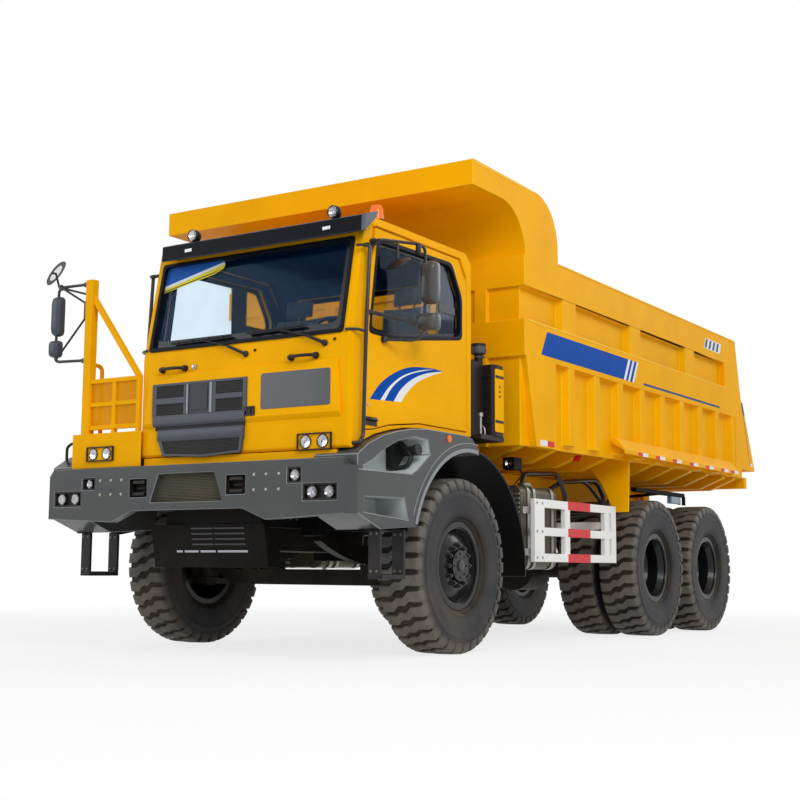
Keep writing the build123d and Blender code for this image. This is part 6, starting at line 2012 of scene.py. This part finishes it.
def seen_directly(tree):
    """One where the camera sees a surface itself, in a gloss or through glass, and nought elsewhere."""
    path = add_node(tree, "ShaderNodeLightPath")
    seen = maths(tree, "MAXIMUM", path.outputs["Is Camera Ray"], path.outputs["Is Glossy Ray"])
    return maths(tree, "MAXIMUM", seen, path.outputs["Is Transmission Ray"])


def build_floor():
    """A pale floor that is lifted towards white and fades out away from the truck."""
    bm = bmesh.new()
    bmesh.ops.create_grid(bm, x_segments=1, y_segments=1, size=FLOOR_SIZE)
    mesh = bpy.data.meshes.new("studio_floor")
    bm.to_mesh(mesh)
    bm.free()
    material = bpy.data.materials.new("studio floor")
    material.use_nodes = True
    tree = material.node_tree
    shader = tree.nodes["Principled BSDF"]
    shader.inputs["Base Color"].default_value = (0.86, 0.86, 0.86, 1.0)
    shader.inputs["Roughness"].default_value = 0.9
    place_at = add_node(tree, "ShaderNodeTexCoord").outputs["Object"]
    away = add_node(tree, "ShaderNodeVectorMath", {0: place_at}, operation="LENGTH").outputs["Value"]
    fade = remap(tree, away, *FLOOR_FADE)
    clear = add_node(tree, "ShaderNodeBsdfTransparent")
    glow = add_node(tree, "ShaderNodeEmission", {"Color": (1.0, 1.0, 1.0, 1.0), "Strength": 1.0})
    lift = maths(tree, "MULTIPLY", seen_directly(tree), FLOOR_LIFT)
    lit = add_node(tree, "ShaderNodeMixShader", {0: lift, 1: shader.outputs[0], 2: glow.outputs[0]})
    ends = add_node(tree, "ShaderNodeMixShader", {0: fade, 1: lit.outputs[0], 2: clear.outputs[0]})
    tree.links.new(ends.outputs[0], tree.nodes["Material Output"].inputs["Surface"])
    mesh.materials.append(material)
    carry("studio_floor", mesh)


build_floor()

world = bpy.data.worlds.new("studio")
scene.world = world
world.use_nodes = True
sky = world.node_tree
sky.nodes.clear()
soft = add_node(sky, "ShaderNodeBackground", {"Color": (0.92, 0.96, 1.0, 1.0), "Strength": 0.5})
white = add_node(sky, "ShaderNodeBackground", {"Color": (1.0, 1.0, 1.0, 1.0), "Strength": 1.0})
both = add_node(sky, "ShaderNodeMixShader", {
    0: seen_directly(sky), 1: soft.outputs[0], 2: white.outputs[0],
})
add_node(sky, "ShaderNodeOutputWorld", {"Surface": both.outputs[0]})

LIGHT_PANELS = (  # name, place, aimed at, size, watts
    ("key_panel", (10.0, -9.5, 9.0), (0.0, -0.5, 1.5), 6.0, 800.0),
    ("fill_panel", (-9.0, -12.0, 6.0), (0.0, -1.0, 1.5), 7.0, 330.0),
    ("back_panel", (6.0, 10.0, 8.0), (0.0, 1.0, 2.0), 6.0, 260.0),
)
for name, spot, aim, size, watts in LIGHT_PANELS:
    lamp = bpy.data.lights.new(name, "AREA")
    lamp.size = size
    lamp.energy = watts
    panel = bpy.data.objects.new(name, lamp)
    panel.location = spot
    panel.rotation_euler = (Vector(aim) - Vector(spot)).to_track_quat("-Z", "Y").to_euler()
    bpy.context.collection.objects.link(panel)

CAMERA_SPOT = (6.714, -11.668, 0.664)
AZIMUTH, PITCH, ROLL = (math.radians(angle) for angle in (32.82, 7.2, 0.38))
level = Vector((math.cos(AZIMUTH), math.sin(AZIMUTH), 0.0))
heading = Vector((-math.sin(AZIMUTH), math.cos(AZIMUTH), 0.0))
ahead = heading * math.cos(PITCH) + Vector(UP) * math.sin(PITCH)
rise = level.cross(ahead)
right = level * math.cos(ROLL) + rise * math.sin(ROLL)
up = rise * math.cos(ROLL) - level * math.sin(ROLL)
lens = bpy.data.cameras.new("camera")
lens.lens = 59.87
lens.sensor_width = 36.0
camera = bpy.data.objects.new("camera", lens)
camera.matrix_world = Matrix.Translation(CAMERA_SPOT) @ Matrix((right, up, -ahead)).transposed().to_4x4()
bpy.context.collection.objects.link(camera)
scene.camera = camera
